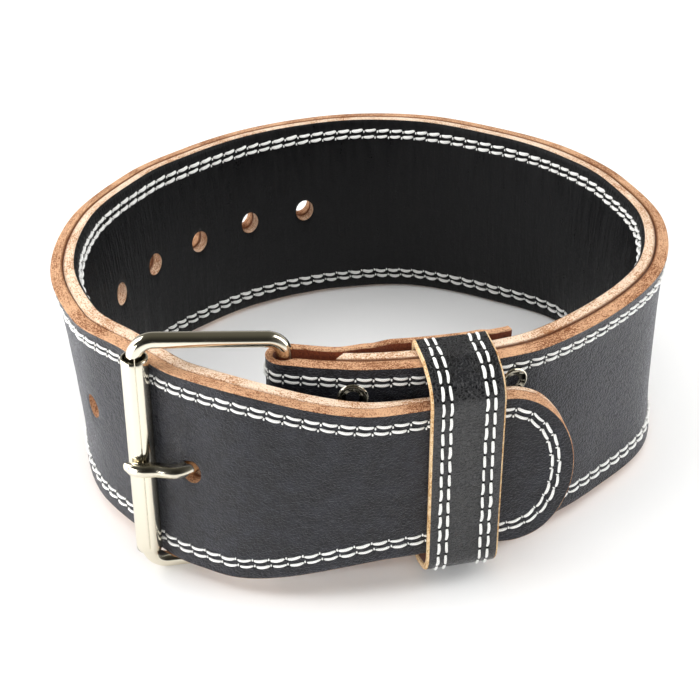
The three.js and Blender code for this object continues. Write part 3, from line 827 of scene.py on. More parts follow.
@dataclass(frozen=True)
class FleshSide:
    """Flesh side of the hide, skived and left raw: a short reddish nap with no shine."""

    name: str
    colour: str = "#8c4526"
    dark: str = "#5a2614"
    nap_mm: float = 0.7

    def build(self) -> bpy.types.Material:
        """Makes the material."""
        m = Material(self.name)
        place = m.add("ShaderNodeTexCoord").outputs["Object"]
        nap = m.add("ShaderNodeTexNoise", {
            "Vector": place, "Scale": 1 / (self.nap_mm * MM), "Detail": 6.0, "Roughness": 0.7,
        })
        ramp = m.add("ShaderNodeValToRGB", {0: nap.outputs["Fac"]})
        ramp_stops(ramp, ((0.35, self.dark), (0.62, self.colour)))
        m.feed("Base Color", ramp.outputs["Color"])
        m.feed("Roughness", 0.95)
        m.feed("Specular IOR Level", 0.15)
        m.feed("Sheen Weight", 0.3)
        m.feed("Normal", m.add("ShaderNodeBump", {
            "Height": nap.outputs["Fac"], "Strength": 1.0, "Distance": 0.35 * MM,
        }).outputs["Normal"])
        return m.material


@dataclass(frozen=True)
class NickelPlate:
    """Nickel plate, polished bright over steel: a warm mirror with faint polishing haze."""

    name: str
    colour: str = "#e6dfcd"
    polish: float = 0.08
    haze: float = 0.2
    haze_mm: float = 6
    ripple_mm: float = 2.5

    def build(self) -> bpy.types.Material:
        """Makes the material."""
        m = Material(self.name)
        place = m.add("ShaderNodeTexCoord").outputs["Object"]
        cloud = m.add("ShaderNodeTexNoise", {
            "Vector": place, "Scale": 1 / (self.haze_mm * MM), "Detail": 3.0, "Roughness": 0.6,
        })
        ripple = m.add("ShaderNodeTexNoise", {
            "Vector": place, "Scale": 1 / (self.ripple_mm * MM), "Detail": 1.0, "Roughness": 0.4,
        })
        m.feed("Base Color", hex_colour(self.colour))
        m.feed("Metallic", 1.0)
        m.feed("Roughness", m.add("ShaderNodeMapRange", {
            0: cloud.outputs["Fac"], 1: 0.35, 2: 0.75, 3: self.polish, 4: self.haze,
        }).outputs[0])
        m.feed("Normal", m.add("ShaderNodeBump", {
            "Height": ripple.outputs["Fac"], "Strength": 1.0, "Distance": 0.02 * MM,
        }).outputs["Normal"])
        return m.material


@dataclass(frozen=True)
class WaxedThread:
    """Bonded white polyester thread, twisted from plies and waxed: plump, clean and softly shiny."""

    name: str
    colour: str = "#fdfdfb"
    # Painted shade: a darker colour for the valleys of the twist.
    twist_valley_shade: str = "#e3e1db"
    twist_mm: float = 1.1

    def build(self) -> bpy.types.Material:
        """Makes the material."""
        m = Material(self.name)
        course = m.add("ShaderNodeUVMap", uv_map="course").outputs["UV"]
        parts = m.add("ShaderNodeSeparateXYZ", {0: course})
        slant = m.add("ShaderNodeMath", {0: parts.outputs[0], 1: parts.outputs[1]}, operation="ADD")
        phase = m.add("ShaderNodeMath", {
            0: slant.outputs[0], 1: 2 * math.pi / (self.twist_mm * MM),
        }, operation="MULTIPLY")
        wave = m.add("ShaderNodeMath", {0: phase.outputs[0]}, operation="SINE")
        share = m.add("ShaderNodeMapRange", {0: wave.outputs[0], 1: -1.0, 2: 0.2, 3: 0.0, 4: 1.0})
        # Painted shade in the twist's valleys, mixed in along the same wave as the bump.
        tone = m.add("ShaderNodeMix", {
            0: share.outputs[0], 6: hex_colour(self.twist_valley_shade), 7: hex_colour(self.colour),
        }, data_type="RGBA")
        m.feed("Base Color", tone.outputs[2])
        m.feed("Roughness", 0.5)
        m.feed("Sheen Weight", 0.2)
        m.feed("Normal", m.add("ShaderNodeBump", {
            "Height": wave.outputs[0], "Strength": 0.8, "Distance": 0.06 * MM,
        }).outputs["Normal"])
        return m.material


@dataclass(frozen=True)
class NeedleHoleShade:
    """Painted shade of a needle hole: a small near-black disc on the leather where the hole is."""

    name: str
    colour: str = "#060506"

    def build(self) -> bpy.types.Material:
        """Makes the material."""
        m = Material(self.name)
        rough = m.add("ShaderNodeTexNoise", {
            "Vector": m.add("ShaderNodeTexCoord").outputs["Object"], "Scale": 1 / (0.3 * MM), "Detail": 2.0,
        })
        m.feed("Base Color", hex_colour(self.colour))
        m.feed("Roughness", m.add("ShaderNodeMapRange", {
            0: rough.outputs["Fac"], 1: 0.0, 2: 1.0, 3: 0.8, 4: 1.0,
        }).outputs[0])
        m.feed("Specular IOR Level", 0.1)
        return m.material


@dataclass(frozen=True)
class PaleFloor:
    """Matt white card that the belt stands on, with a faint sheen."""

    name: str
    colour: str = "#fbfbfb"

    def build(self) -> bpy.types.Material:
        """Makes the material."""
        m = Material(self.name)
        m.feed("Base Color", hex_colour(self.colour))
        m.feed("Roughness", 0.35)
        m.feed("Specular IOR Level", 0.3)
        return m.material


@dataclass
class Finishes:
    """Every finish of the belt, made once."""

    strap: bpy.types.Material = field(default_factory=DyedLeather("dyed_strap_leather").build)
    lining: bpy.types.Material = field(default_factory=DyedLeather(
        "dyed_lining_leather", colour="#08080a", worn="#151516", cloud_mm=(3, 25), drape_mm=0.9,
        grain_depth_mm=0.05, gloss=0.24, dull=0.5, specular=0.22, sheen=0.0,
    ).build)
    keeper: bpy.types.Material = field(default_factory=DyedLeather(
        "pebbled_keeper_leather", colour="#09090c", worn="#131419", grain_mm=1.6, grain_depth_mm=0.3,
        gloss=0.12, dull=0.2, specular=0.55, coat=0.3, sheen=0.0,
    ).build)
    # Both strap edges get the dark band at the layers' joint, which is partly painted groove shade.
    outer_edge: bpy.types.Material = field(default_factory=CutEdge(
        "cut_edge_of_strap", glue_and_shade_depth_mm=6, tail_from_mm=660, tail_to_mm=700,
    ).build)
    inner_edge: bpy.types.Material = field(default_factory=CutEdge(
        "cut_edge_of_lining", pale="#ecd6c0", body="#d2ae8e", fleck="#a06c46", glue_and_shade_depth_mm=6,
        tail_from_mm=660, tail_to_mm=700,
    ).build)
    keeper_edge: bpy.types.Material = field(default_factory=CutEdge(
        "cut_edge_of_keeper", pale="#e8cda6", body="#d4b080", fleck="#a87848",
    ).build)
    flesh: bpy.types.Material = field(default_factory=FleshSide("raw_flesh_side").build)
    nickel: bpy.types.Material = field(default_factory=NickelPlate("polished_nickel_plate").build)
    thread: bpy.types.Material = field(default_factory=WaxedThread("waxed_white_thread").build)
    # Near-black discs that paint the shade of the needle holes.
    hole_shade: bpy.types.Material = field(default_factory=NeedleHoleShade("needle_hole_painted_shade").build)


def dress(
    mesh: bpy.types.Mesh,
    materials: Sequence[bpy.types.Material],
    replaces: Sequence[str] = (),
    sharp_deg: float = 40,
) -> bpy.types.Object:
    """Makes the object of a piece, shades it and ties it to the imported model.

    Args:
        mesh: The piece's mesh, in the row frame.
        materials: Its finishes, in the order of their places.
        replaces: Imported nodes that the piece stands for.
        sharp_deg: Angle past which an edge is shaded sharp.

    Returns:
        The object.
    """
    piece = bpy.data.objects.new(mesh.name, mesh)
    bpy.context.scene.collection.objects.link(piece)
    if not mesh.materials:
        for material in materials:
            mesh.materials.append(material)
    mesh.shade_smooth()
    mesh.set_sharp_from_angle(angle=math.radians(sharp_deg))
    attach(piece, "root")
    if replaces:
        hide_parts(*replaces)
    LOG.info("%s: %d faces", piece.name, len(mesh.polygons))
    return piece


def carve(
    mesh: bpy.types.Mesh, cutters: Sequence[bpy.types.Mesh], materials: Sequence[bpy.types.Material]
) -> bpy.types.Mesh:
    """Cuts solids out of a mesh, one after the other. The walls of a cut take the cutter's finish.

    Args:
        mesh: The mesh to cut.
        cutters: Closed meshes, which are used up.
        materials: Finishes of the mesh and of the cutters, in the order of their places.

    Returns:
        The cut mesh.
    """
    for material in materials:
        mesh.materials.append(material)
    body = bpy.data.objects.new("uncut", mesh)
    bpy.context.scene.collection.objects.link(body)
    tools = []
    for cutter in cutters:
        for material in materials:
            cutter.materials.append(material)
        tool = bpy.data.objects.new("cutter", cutter)
        bpy.context.scene.collection.objects.link(tool)
        step = body.modifiers.new("cut", "BOOLEAN")
        step.operation = "DIFFERENCE"
        step.solver = "EXACT"
        step.material_mode = "INDEX"
        step.object = tool
        tools.append(tool)
    graph = bpy.context.evaluated_depsgraph_get()
    made = bpy.data.meshes.new_from_object(body.evaluated_get(graph), depsgraph=graph)
    name = mesh.name
    for spare in (body, *tools):
        used = spare.data
        bpy.data.objects.remove(spare)
        bpy.data.meshes.remove(used)
    made.name = name
    return made


@dataclass
class StrapLayers:
    """The strap's two leather layers, with their holes, rounded rims and pressed stitch lines."""

    course: Course
    rim: float = 0.6
    lining_rim: float = 1.6
    glue_rim: float = 0.75
    tail_glue_rim: float = 0.12
    press: float = 0.22
    press_width: float = 0.9
    lining_press: float = 0.5
    lining_press_width: float = 1.2
    pull_rise: float = 0.9
    pull_back: float = 5
    pull_slant: float = 0.2
    pull_width: float = 3.4
    pull_height: float = 15
    pull_reach: float = 9
    hole_dip: float = 0.45
    hole_dip_width: float = 0.9
    ripple: float = 0.16
    upper_insets: tuple[float, ...] = (5.6, 8.7)
    lower_insets: tuple[float, ...] = (7, 10.3)
    ring_step: float = 2
    fine_step: float = 0.8

    def face_columns(self, rim: float) -> tuple[np.ndarray, np.ndarray]:
        """Sides and insets of the columns across a visible face, from the lower edge to the upper."""
        near = np.concatenate([[rim, 2.2, 3.4], np.linspace(4.4, 12, 15)])
        middle = self.course.sizes.middle - near[-1]
        heights = np.concatenate([np.arange(-34, -7, 4), np.arange(-5, 11.5, 0.8), np.arange(14, 35, 4)])
        side = np.concatenate([-np.ones(len(near)), heights / middle, np.ones(len(near))])
        inset = np.concatenate([near, np.full(len(heights), near[-1]), near[::-1]])
        return side, inset

    def section(self, visible_first: bool) -> dict[str, np.ndarray]:
        """Columns once round a layer's section.

        Args:
            visible_first: Whether the layer's visible face is the one at depth 0.

        Returns:
            Side, inset, share of the thickness, extra depth and finish of each column, and whether it
            belongs to the rim along the glue.
        """
        seen, hidden = (self.rim if visible_first else self.lining_rim), self.glue_rim
        dyed_to = 20 if visible_first else 60
        side, inset = self.face_columns(seen)
        turns = [20, 40, 60, 75, 90]
        steps = np.array([0.2, 0.4, 0.6, 0.8])
        columns: list[tuple[float, float, float, float, int]] = []
        for a, b in zip(side, inset):
            columns.append((a, b, 0, 0, Finish.GRAIN))
        for place, turn in enumerate(turns):
            following = turns[min(place + 1, len(turns) - 1)]
            finish = Finish.GRAIN if turn < following <= dyed_to else Finish.EDGE
            sine, cosine = math.sin(math.radians(turn)), math.cos(math.radians(turn))
            columns.append((1, seen * (1 - sine), 0, seen * (1 - cosine), finish))
        for step in steps:
            columns.append((1, 0, step, 0, Finish.EDGE))
        bends = np.radians([0, 30, 60, 90])
        glued = [(hidden * (1 - math.cos(bend)), -hidden * (1 - math.sin(bend))) for bend in bends]
        columns += [(1, back, 1, up, Finish.EDGE) for back, up in glued]
        columns[-1] = (*columns[-1][:4], Finish.FLESH)
        for share in (0.5, 0, -0.5):
            columns.append((share, hidden, 1, 0, Finish.FLESH))
        columns += [(-1, back, 1, up, Finish.EDGE) for back, up in glued[::-1]]
        for step in steps[::-1]:
            columns.append((-1, 0, step, 0, Finish.EDGE))
        for turn in turns[::-1]:
            finish = Finish.GRAIN if turn <= dyed_to else Finish.EDGE
            sine, cosine = math.sin(math.radians(turn)), math.cos(math.radians(turn))
            columns.append((-1, seen * (1 - sine), 0, seen * (1 - cosine), finish))
        names = ("side", "inset", "share", "extra", "finish")
        made = {name: np.array([column[i] for column in columns]) for i, name in enumerate(names)}
        made["glued"] = made["share"] == 1
        if not visible_first:
            made["share"] = 1 - made["share"]
            made["extra"] = -made["extra"]
        return made

    def runs(self, start: float) -> np.ndarray:
        """Places of the rings along a layer, closer together at the holes and round the tip."""
        course = self.course
        coarse = np.arange(start, course.tip_start, self.ring_step)
        reach = course.sizes.hole_width / 2 + 2
        fine = np.concatenate([
            np.arange(place - reach, place + reach, self.fine_step) for place in course.hole_places
        ])
        near_hole = np.min(np.abs(coarse[:, None] - course.hole_places), axis=1) < reach
        tip = np.linspace(course.tip_start, course.length, 40)
        fold = np.arange(-course.sizes.fold_length, 0, 0.9) if start < 0 else np.zeros(0)
        coarse = coarse[~near_hole]
        if start < 0:
            coarse = coarse[(coarse < -course.sizes.fold_length - 0.5) | (coarse > 0.2)]
        return np.unique(np.concatenate([coarse, fine, fold, tip]))

    def dip(
        self,
        arc: np.ndarray,
        height: np.ndarray,
        side: np.ndarray,
        inset: np.ndarray,
        turned: np.ndarray,
        outer: bool,
    ) -> np.ndarray:
        """How far a visible face sinks at its stitch lines and holes, and ripples elsewhere.

        Args:
            arc: Distance along the strap.
            height: Height above the strap's middle.
            side: Which half of the face a point is on, below 0 for the lower.
            inset: Distance from the edge.
            turned: How far a ring has gone round the tip, from 0 to a half at its end.
            outer: Whether it is the outer layer's face.

        Returns:
            Depth below the even face.
        """
        s = self.course.sizes
        press = self.press if outer else self.lining_press
        width = self.press_width if outer else self.lining_press_width
        sink = np.zeros(np.broadcast_shapes(arc.shape, height.shape))
        for upper, lower in zip(self.upper_insets, self.lower_insets):
            line = np.where(side > 0, upper + (lower - upper) * turned, lower + (upper - lower) * turned)
            sink = sink + press * np.exp(-(((inset - line) / width) ** 2))
        ridge = self.course.hole_places[0] - self.pull_back + (height - 2) * self.pull_slant
        pull = np.exp(-(((arc - ridge) / self.pull_width) ** 2))
        sink = sink - self.pull_rise * pull * np.exp(-(((height - self.pull_height) / self.pull_reach) ** 2))
        for place in self.course.hole_places:
            across = (arc - place) / (s.hole_width / 2)
            up = (height - (s.hole_level - s.middle)) / (s.hole_height / 2)
            out = np.maximum(np.hypot(across, up) - 1, 0) * (s.hole_width + s.hole_height) / 4
            sink = sink + self.hole_dip * np.exp(-((out / self.hole_dip_width) ** 2))
        # Three slow waves of hand-worked leather, with their lengths in millimetres and their phases.
        wave = (
            np.sin(arc / 19 + 1.3) * np.sin(height / 23 + 0.4)
            + 0.6 * np.sin(arc / 8.3 + height / 31 + 2.1)
            + 0.5 * np.sin(arc / 31 - height / 14)
        )
        return sink + self.ripple * wave * 0.5

    def spots(
        self, section: dict[str, np.ndarray], runs: np.ndarray, outer: bool
    ) -> tuple[np.ndarray, np.ndarray, np.ndarray]:
        """Points of a layer.

        Args:
            section: Columns once round the section.
            runs: Places of the rings.
            outer: Whether it is the outer layer.

        Returns:
            Points shaped (rings, columns, 3), the place of each along the strap, and its depth.
        """
        s, course = self.course.sizes, self.course
        fade = 1 - (1 - self.tail_glue_rim / self.glue_rim) * course.tail_share(runs)
        scale = np.where(section["glued"][None, :], fade[:, None], 1.0)
        inset = section["inset"] * scale
        extra = section["extra"] * scale
        arc, half = course.edge_place(runs[:, None], inset)
        height = section["side"] * half
        share = section["share"]
        turned = smooth((runs[:, None] - course.tip_start) / s.tip_length) / 2
        dip = self.dip(arc, height, section["side"], section["inset"], turned, outer)
        if outer:
            thickness = s.skived_thickness + (s.layer - s.skived_thickness) * smooth(arc / s.skive_length)
            depth = share * thickness + extra
            ragged = np.clip((-arc - s.fold_length - s.return_length + 6) / 6, 0, 1)
            arc = arc - ragged * (1.1 * np.sin(height / 5.1) + 0.7 * np.sin(height / 1.9 + 1))
            face = (share == 0) & (section["extra"] == 0)
            sunk = depth + np.where(face, dip, 0)
            return course.ribbon_spot(arc, height, sunk)[0], arc, depth
        near = s.strap_thickness - s.layer
        thickness = course.inner_depth(arc) - near
        depth = near + share * thickness + extra
        into = (depth - near) / s.layer
        arc = arc + s.inner_layer_skive * into * (1 - smooth((arc - s.inner_layer_start) / 14))
        face = (share == 1) & (section["extra"] == 0)
        sunk = depth - np.where(face, dip, 0)
        return course.strap_spot(arc, height, sunk)[0], arc, depth

    def layer_mesh(self, name: str, outer: bool) -> bpy.types.Mesh:
        """Mesh of a layer before it is cut."""
        s = self.course.sizes
        start = -(s.fold_length + s.return_length) if outer else s.inner_layer_start
        section = self.section(visible_first=outer)
        spots, arc, depth = self.spots(section, self.runs(start), outer)
        surface = Surface()
        across = np.concatenate([depth, depth[:, :1]], axis=1)
        surface.sweep(spots, section["finish"].astype(int), arc, across, capped=False)
        surface.faces.append(list(range(spots.shape[1])))
        surface.pattern += np.stack([arc[0], depth[0]], axis=-1).tolist()
        surface.finish.append(Finish.EDGE)
        return surface.mesh(name, self.course)

    def oval_cutter(self) -> bpy.types.Mesh:
        """Punches of the prong holes, each turned out before they are joined."""
        s = self.course.sizes
        turn = np.linspace(0, 2 * math.pi, 48, endpoint=False)
        shape = bmesh.new()
        for place in self.course.hole_places:
            surface = Surface()
            spot, tangent, normal = self.course.plan(self.course.strap, np.array(place))
            ring = spot + np.cos(turn)[:, None] * tangent * s.hole_width / 2
            outs = np.array([s.layer, -s.strap_thickness - s.layer])
            level = s.hole_level + np.sin(turn) * s.hole_height / 2
            rings = [raised(ring + normal * out, level) for out in outs]
            along = np.tile(turn * s.hole_width / 2, (2, 1))
            surface.sweep(np.array(rings), Finish.EDGE, along, np.tile(-outs[:, None], len(turn) + 1))
            punch = surface.mesh("one_punch", self.course)
            shape.from_mesh(punch)
            bpy.data.meshes.remove(punch)
        mesh = bpy.data.meshes.new("hole_punch")
        shape.to_mesh(mesh)
        shape.free()
        return mesh

    def slot_cutter(self) -> bpy.types.Mesh:
        """Punch of the slot that the prong's eye turns in, at the fold."""
        s = self.course.sizes
        half = s.prong_height / 2 + s.slot_margin
        turn = np.linspace(-math.pi / 2, math.pi / 2, 17)
        end = s.slot_length - s.fold_radius - half
        outline = np.vstack([
            np.stack([end + half * np.cos(turn), half * np.sin(turn)], axis=-1),
            [(-2 * s.fold_radius, half), (-2 * s.fold_radius, -half)],
        ])
        start = self.course.bar + self.course.fold_normal * s.fold_radius
        ring = start + outline[:, :1] * self.course.fold_tangent
        rings = [
            raised(ring + self.course.fold_normal * out, s.hole_level + outline[:, 1])
            for out in (s.fold_radius / 2, -2.5 * s.fold_radius)
        ]
        surface = Surface()
        surface.sweep(np.array(rings), Finish.EDGE)
        return surface.mesh("slot_punch", self.course)

    def build(self, finishes: Finishes) -> None:
        """Makes both layers."""
        outer = self.layer_mesh("strap_outer_layer", outer=True)
        materials = (finishes.strap, finishes.outer_edge, finishes.flesh)
        outer = carve(outer, (self.oval_cutter(), self.slot_cutter()), materials)
        dress(outer, materials, ["outer_layer"])
        inner = self.layer_mesh("strap_inner_layer", outer=False)
        materials = (finishes.lining, finishes.inner_edge, finishes.flesh)
        inner = carve(inner, (self.oval_cutter(),), materials)
        dress(inner, materials, ["inner_layer"])


class Row(Enum):
    """Faces of the strap that carry stitches."""

    OUTSIDE = "outside"
    INSIDE = "inside"


@dataclass(frozen=True)
class Yarn:
    """How one kind of stitch lies, in millimetres, with its drawn length as a share of the pitch."""

    radius: float
    drawn: float
    bow: float
    slant: float
    lift: float = 0.5
    sink: float = 0.5


@dataclass
class Stitching:
    """Two lines of white stitches along every edge of the strap, and discs of painted shade at the needle
    holes.
    """

    course: Course
    layers: StrapLayers
    pitch: float = 7.5
    outside: Yarn = Yarn(radius=0.66, drawn=0.9, bow=0.22, slant=0.4)
    inside: Yarn = Yarn(radius=0.85, drawn=0.8, bow=0.1, slant=0.6, lift=0.7)
    knot: Yarn = Yarn(radius=0.36, drawn=1.0, bow=0.0, slant=0.0, lift=0.45, sink=0.3)
    knot_length: float = 1.2
    rings: int = 9
    sides: int = 7
    hole_shade_radius: float = 0.6

    def path(self, upper: float, lower: float, start: float) -> np.ndarray:
        """Line of a row: along the upper edge, round the tip and back along the lower edge.

        Args:
            upper: Distance from the upper edge.
            lower: Distance from the lower edge.
            start: Place where the row starts and ends.

        Returns:
            Points along, height of the line.
        """
        tip = self.course.tip_start
        runs = np.concatenate([np.arange(start, tip, 0.5), np.linspace(tip, self.course.length, 160)])
        share = smooth((runs - tip) / self.course.sizes.tip_length) / 2
        above = np.stack(self.course.edge_place(runs, upper + (lower - upper) * share), axis=-1)
        below = np.stack(self.course.edge_place(runs, lower + (upper - lower) * share), axis=-1) * (1, -1)
        return np.vstack([above, below[::-1][1:]])

    def places(self, line: np.ndarray) -> np.ndarray:
        """Even places of the needle along a line."""
        lengths = np.concatenate([[0], np.cumsum(np.linalg.norm(np.diff(line, axis=0), axis=1))])
        at = np.linspace(0, lengths[-1], round(lengths[-1] / self.pitch) + 1)
        return np.stack([np.interp(at, lengths, line[:, i]) for i in range(2)], axis=-1)

    def strand_spots(
        self,
        first: np.ndarray,
        last: np.ndarray,
        yarn: Yarn,
        surface_spot: Callable[[np.ndarray, np.ndarray, np.ndarray], Placed],
        outward: float,
        bow_sign: np.ndarray,
        random: np.random.Generator,
    ) -> np.ndarray:
        """Points of the strands between needle places.

        Args:
            first: Needle places where the strands start, along and height.
            last: Needle places where they end.
            yarn: How the strands lie.
            surface_spot: Gives the point and the direction at along, height and rise above the face.
            outward: 1 where the face's direction points to the eye, -1 where it points into the leather.
            bow_sign: Way that each strand bows across the line.
            random: Source of the small differences between strands.

        Returns:
            Points shaped (strands, rings, sides, 3).
        """
        count = len(first)
        span = last - first
        length = np.linalg.norm(span, axis=1, keepdims=True)
        forward = span / length
        aside = np.stack([-forward[:, 1], forward[:, 0]], axis=-1)
        share = np.linspace(0, 1, self.rings)
        along = (1 - yarn.drawn) / 2 + share * yarn.drawn
        hump = np.sin(np.pi * share)
        bow = yarn.bow * (1 + 0.25 * random.standard_normal((count, 1))) * bow_sign[:, None]
        slant = yarn.slant * bow_sign[:, None] * (1 + 0.3 * random.standard_normal((count, 1)))
        off = bow * (hump - 0.6) + slant * (share - 0.5) + 0.08 * random.standard_normal((count, 1))
        plane = first[:, None, :] + span[:, None, :] * along[None, :, None]
        plane = plane + aside[:, None, :] * off[..., None]
        thick = yarn.radius * (1 + 0.07 * random.standard_normal((count, 1)))
        taper = np.clip(hump, 0, 1) ** 0.3
        rise = -yarn.sink + (yarn.lift + yarn.sink) * hump**0.55
        spot, facing = surface_spot(plane[..., 0], plane[..., 1], np.broadcast_to(rise, (count, self.rings)))
        facing = facing * outward
        ahead = np.gradient(spot, axis=1)
        ahead /= np.linalg.norm(ahead, axis=-1, keepdims=True)
        beside = np.cross(facing, ahead)
        beside /= np.linalg.norm(beside, axis=-1, keepdims=True)
        upright = np.cross(ahead, beside)
        turn = np.linspace(0, 2 * math.pi, self.sides, endpoint=False)
        wide = (thick * (0.55 + 0.45 * taper))[:, :, None, None]
        return (
            spot[:, :, None, :]
            + wide * np.cos(turn)[None, None, :, None] * beside[:, :, None, :]
            + wide * 0.85 * np.sin(turn)[None, None, :, None] * upright[:, :, None, :]
        )

    def hole_shade_discs(self, surface: Surface, spot: np.ndarray, facing: np.ndarray) -> None:
        """Adds a flat dark disc at each needle place, painted shade of the needle hole.

        Args:
            surface: Surface that takes the shade discs.
            spot: Points on the face.
            facing: Direction of the face at each.
        """
        up = np.array([0.0, 0.0, 1.0])
        beside = np.cross(up, facing)
        beside /= np.linalg.norm(beside, axis=-1, keepdims=True)
        rise = np.cross(facing, beside)
        turn = np.linspace(0, 2 * math.pi, 8, endpoint=False)
        across, over = np.cos(turn)[None, :, None], np.sin(turn)[None, :, None]
        circle = across * beside[:, None, :] + over * rise[:, None, :]
        rings = np.stack([
            spot[:, None, :] + facing[:, None, :] * height + circle * self.hole_shade_radius * width
            for height, width in ((-0.25, 0.5), (0.0, 1.0), (0.07, 0.85))
        ], axis=1)
        surface.strands(rings, np.arange(3.0), np.arange(9.0))

    def wrap(self, length: float, yarn: Yarn) -> tuple[np.ndarray, np.ndarray]:
        """Pattern places along and round a strand."""
        return np.linspace(0, length, self.rings), np.linspace(0, 2 * math.pi * yarn.radius, self.sides + 1)

    def outside_spot(self, arc: np.ndarray, height: np.ndarray, rise: np.ndarray) -> Placed:
        """Point above the outer layer's face."""
        return self.course.ribbon_spot(arc, height, -rise + self.layers.press * 0.6)

    def inside_spot(self, arc: np.ndarray, height: np.ndarray, rise: np.ndarray) -> Placed:
        """Point above the inner layer's face."""
        depth = self.course.inner_depth(arc) + rise - self.layers.lining_press * 0.7
        return self.course.strap_spot(arc, height, depth)

    def build(self, finishes: Finishes) -> None:
        """Makes the strap's stitches and the discs of painted shade at the needle holes."""
        s = self.course.sizes
        random = np.random.default_rng(SEED)
        hole_shade_discs = Surface()
        starts = {Row.OUTSIDE: -(s.fold_length + s.return_length - 4), Row.INSIDE: s.return_length + 2}
        for row, start in starts.items():
            surface = Surface()
            if row is Row.OUTSIDE:
                spot_at, outward, yarn = self.outside_spot, 1.0, self.outside
            else:
                spot_at, outward, yarn = self.inside_spot, -1.0, self.inside
            for upper, lower in zip(self.layers.upper_insets, self.layers.lower_insets):
                ends = self.places(self.path(upper, lower, start))
                bow_sign = np.where(ends[:-1, 1] > 0, -1.0, 1.0)
                strands = self.strand_spots(ends[:-1], ends[1:], yarn, spot_at, outward, bow_sign, random)
                surface.strands(strands, *self.wrap(self.pitch, yarn))
                still = np.zeros(len(ends))
                middle = np.stack([np.minimum(ends[:, 0], self.course.tip_start), still], axis=-1)
                inward = middle - ends
                inward /= np.linalg.norm(inward, axis=1, keepdims=True)
                knots = self.strand_spots(
                    ends, ends + inward * self.knot_length, self.knot, spot_at, outward, still, random
                )
                surface.strands(knots, *self.wrap(self.knot_length, self.knot))
                spot, facing = spot_at(ends[:, 0], ends[:, 1], np.full(len(ends), 0.12))
                # Painted needle-hole shade: a dark disc at each needle place.
                self.hole_shade_discs(hole_shade_discs, spot, facing * outward)
            dress(surface.mesh(f"stitches_{row.value}", self.course), (finishes.thread,))
        dress(hole_shade_discs.mesh("needle_hole_shade_discs", self.course), (finishes.hole_shade,))


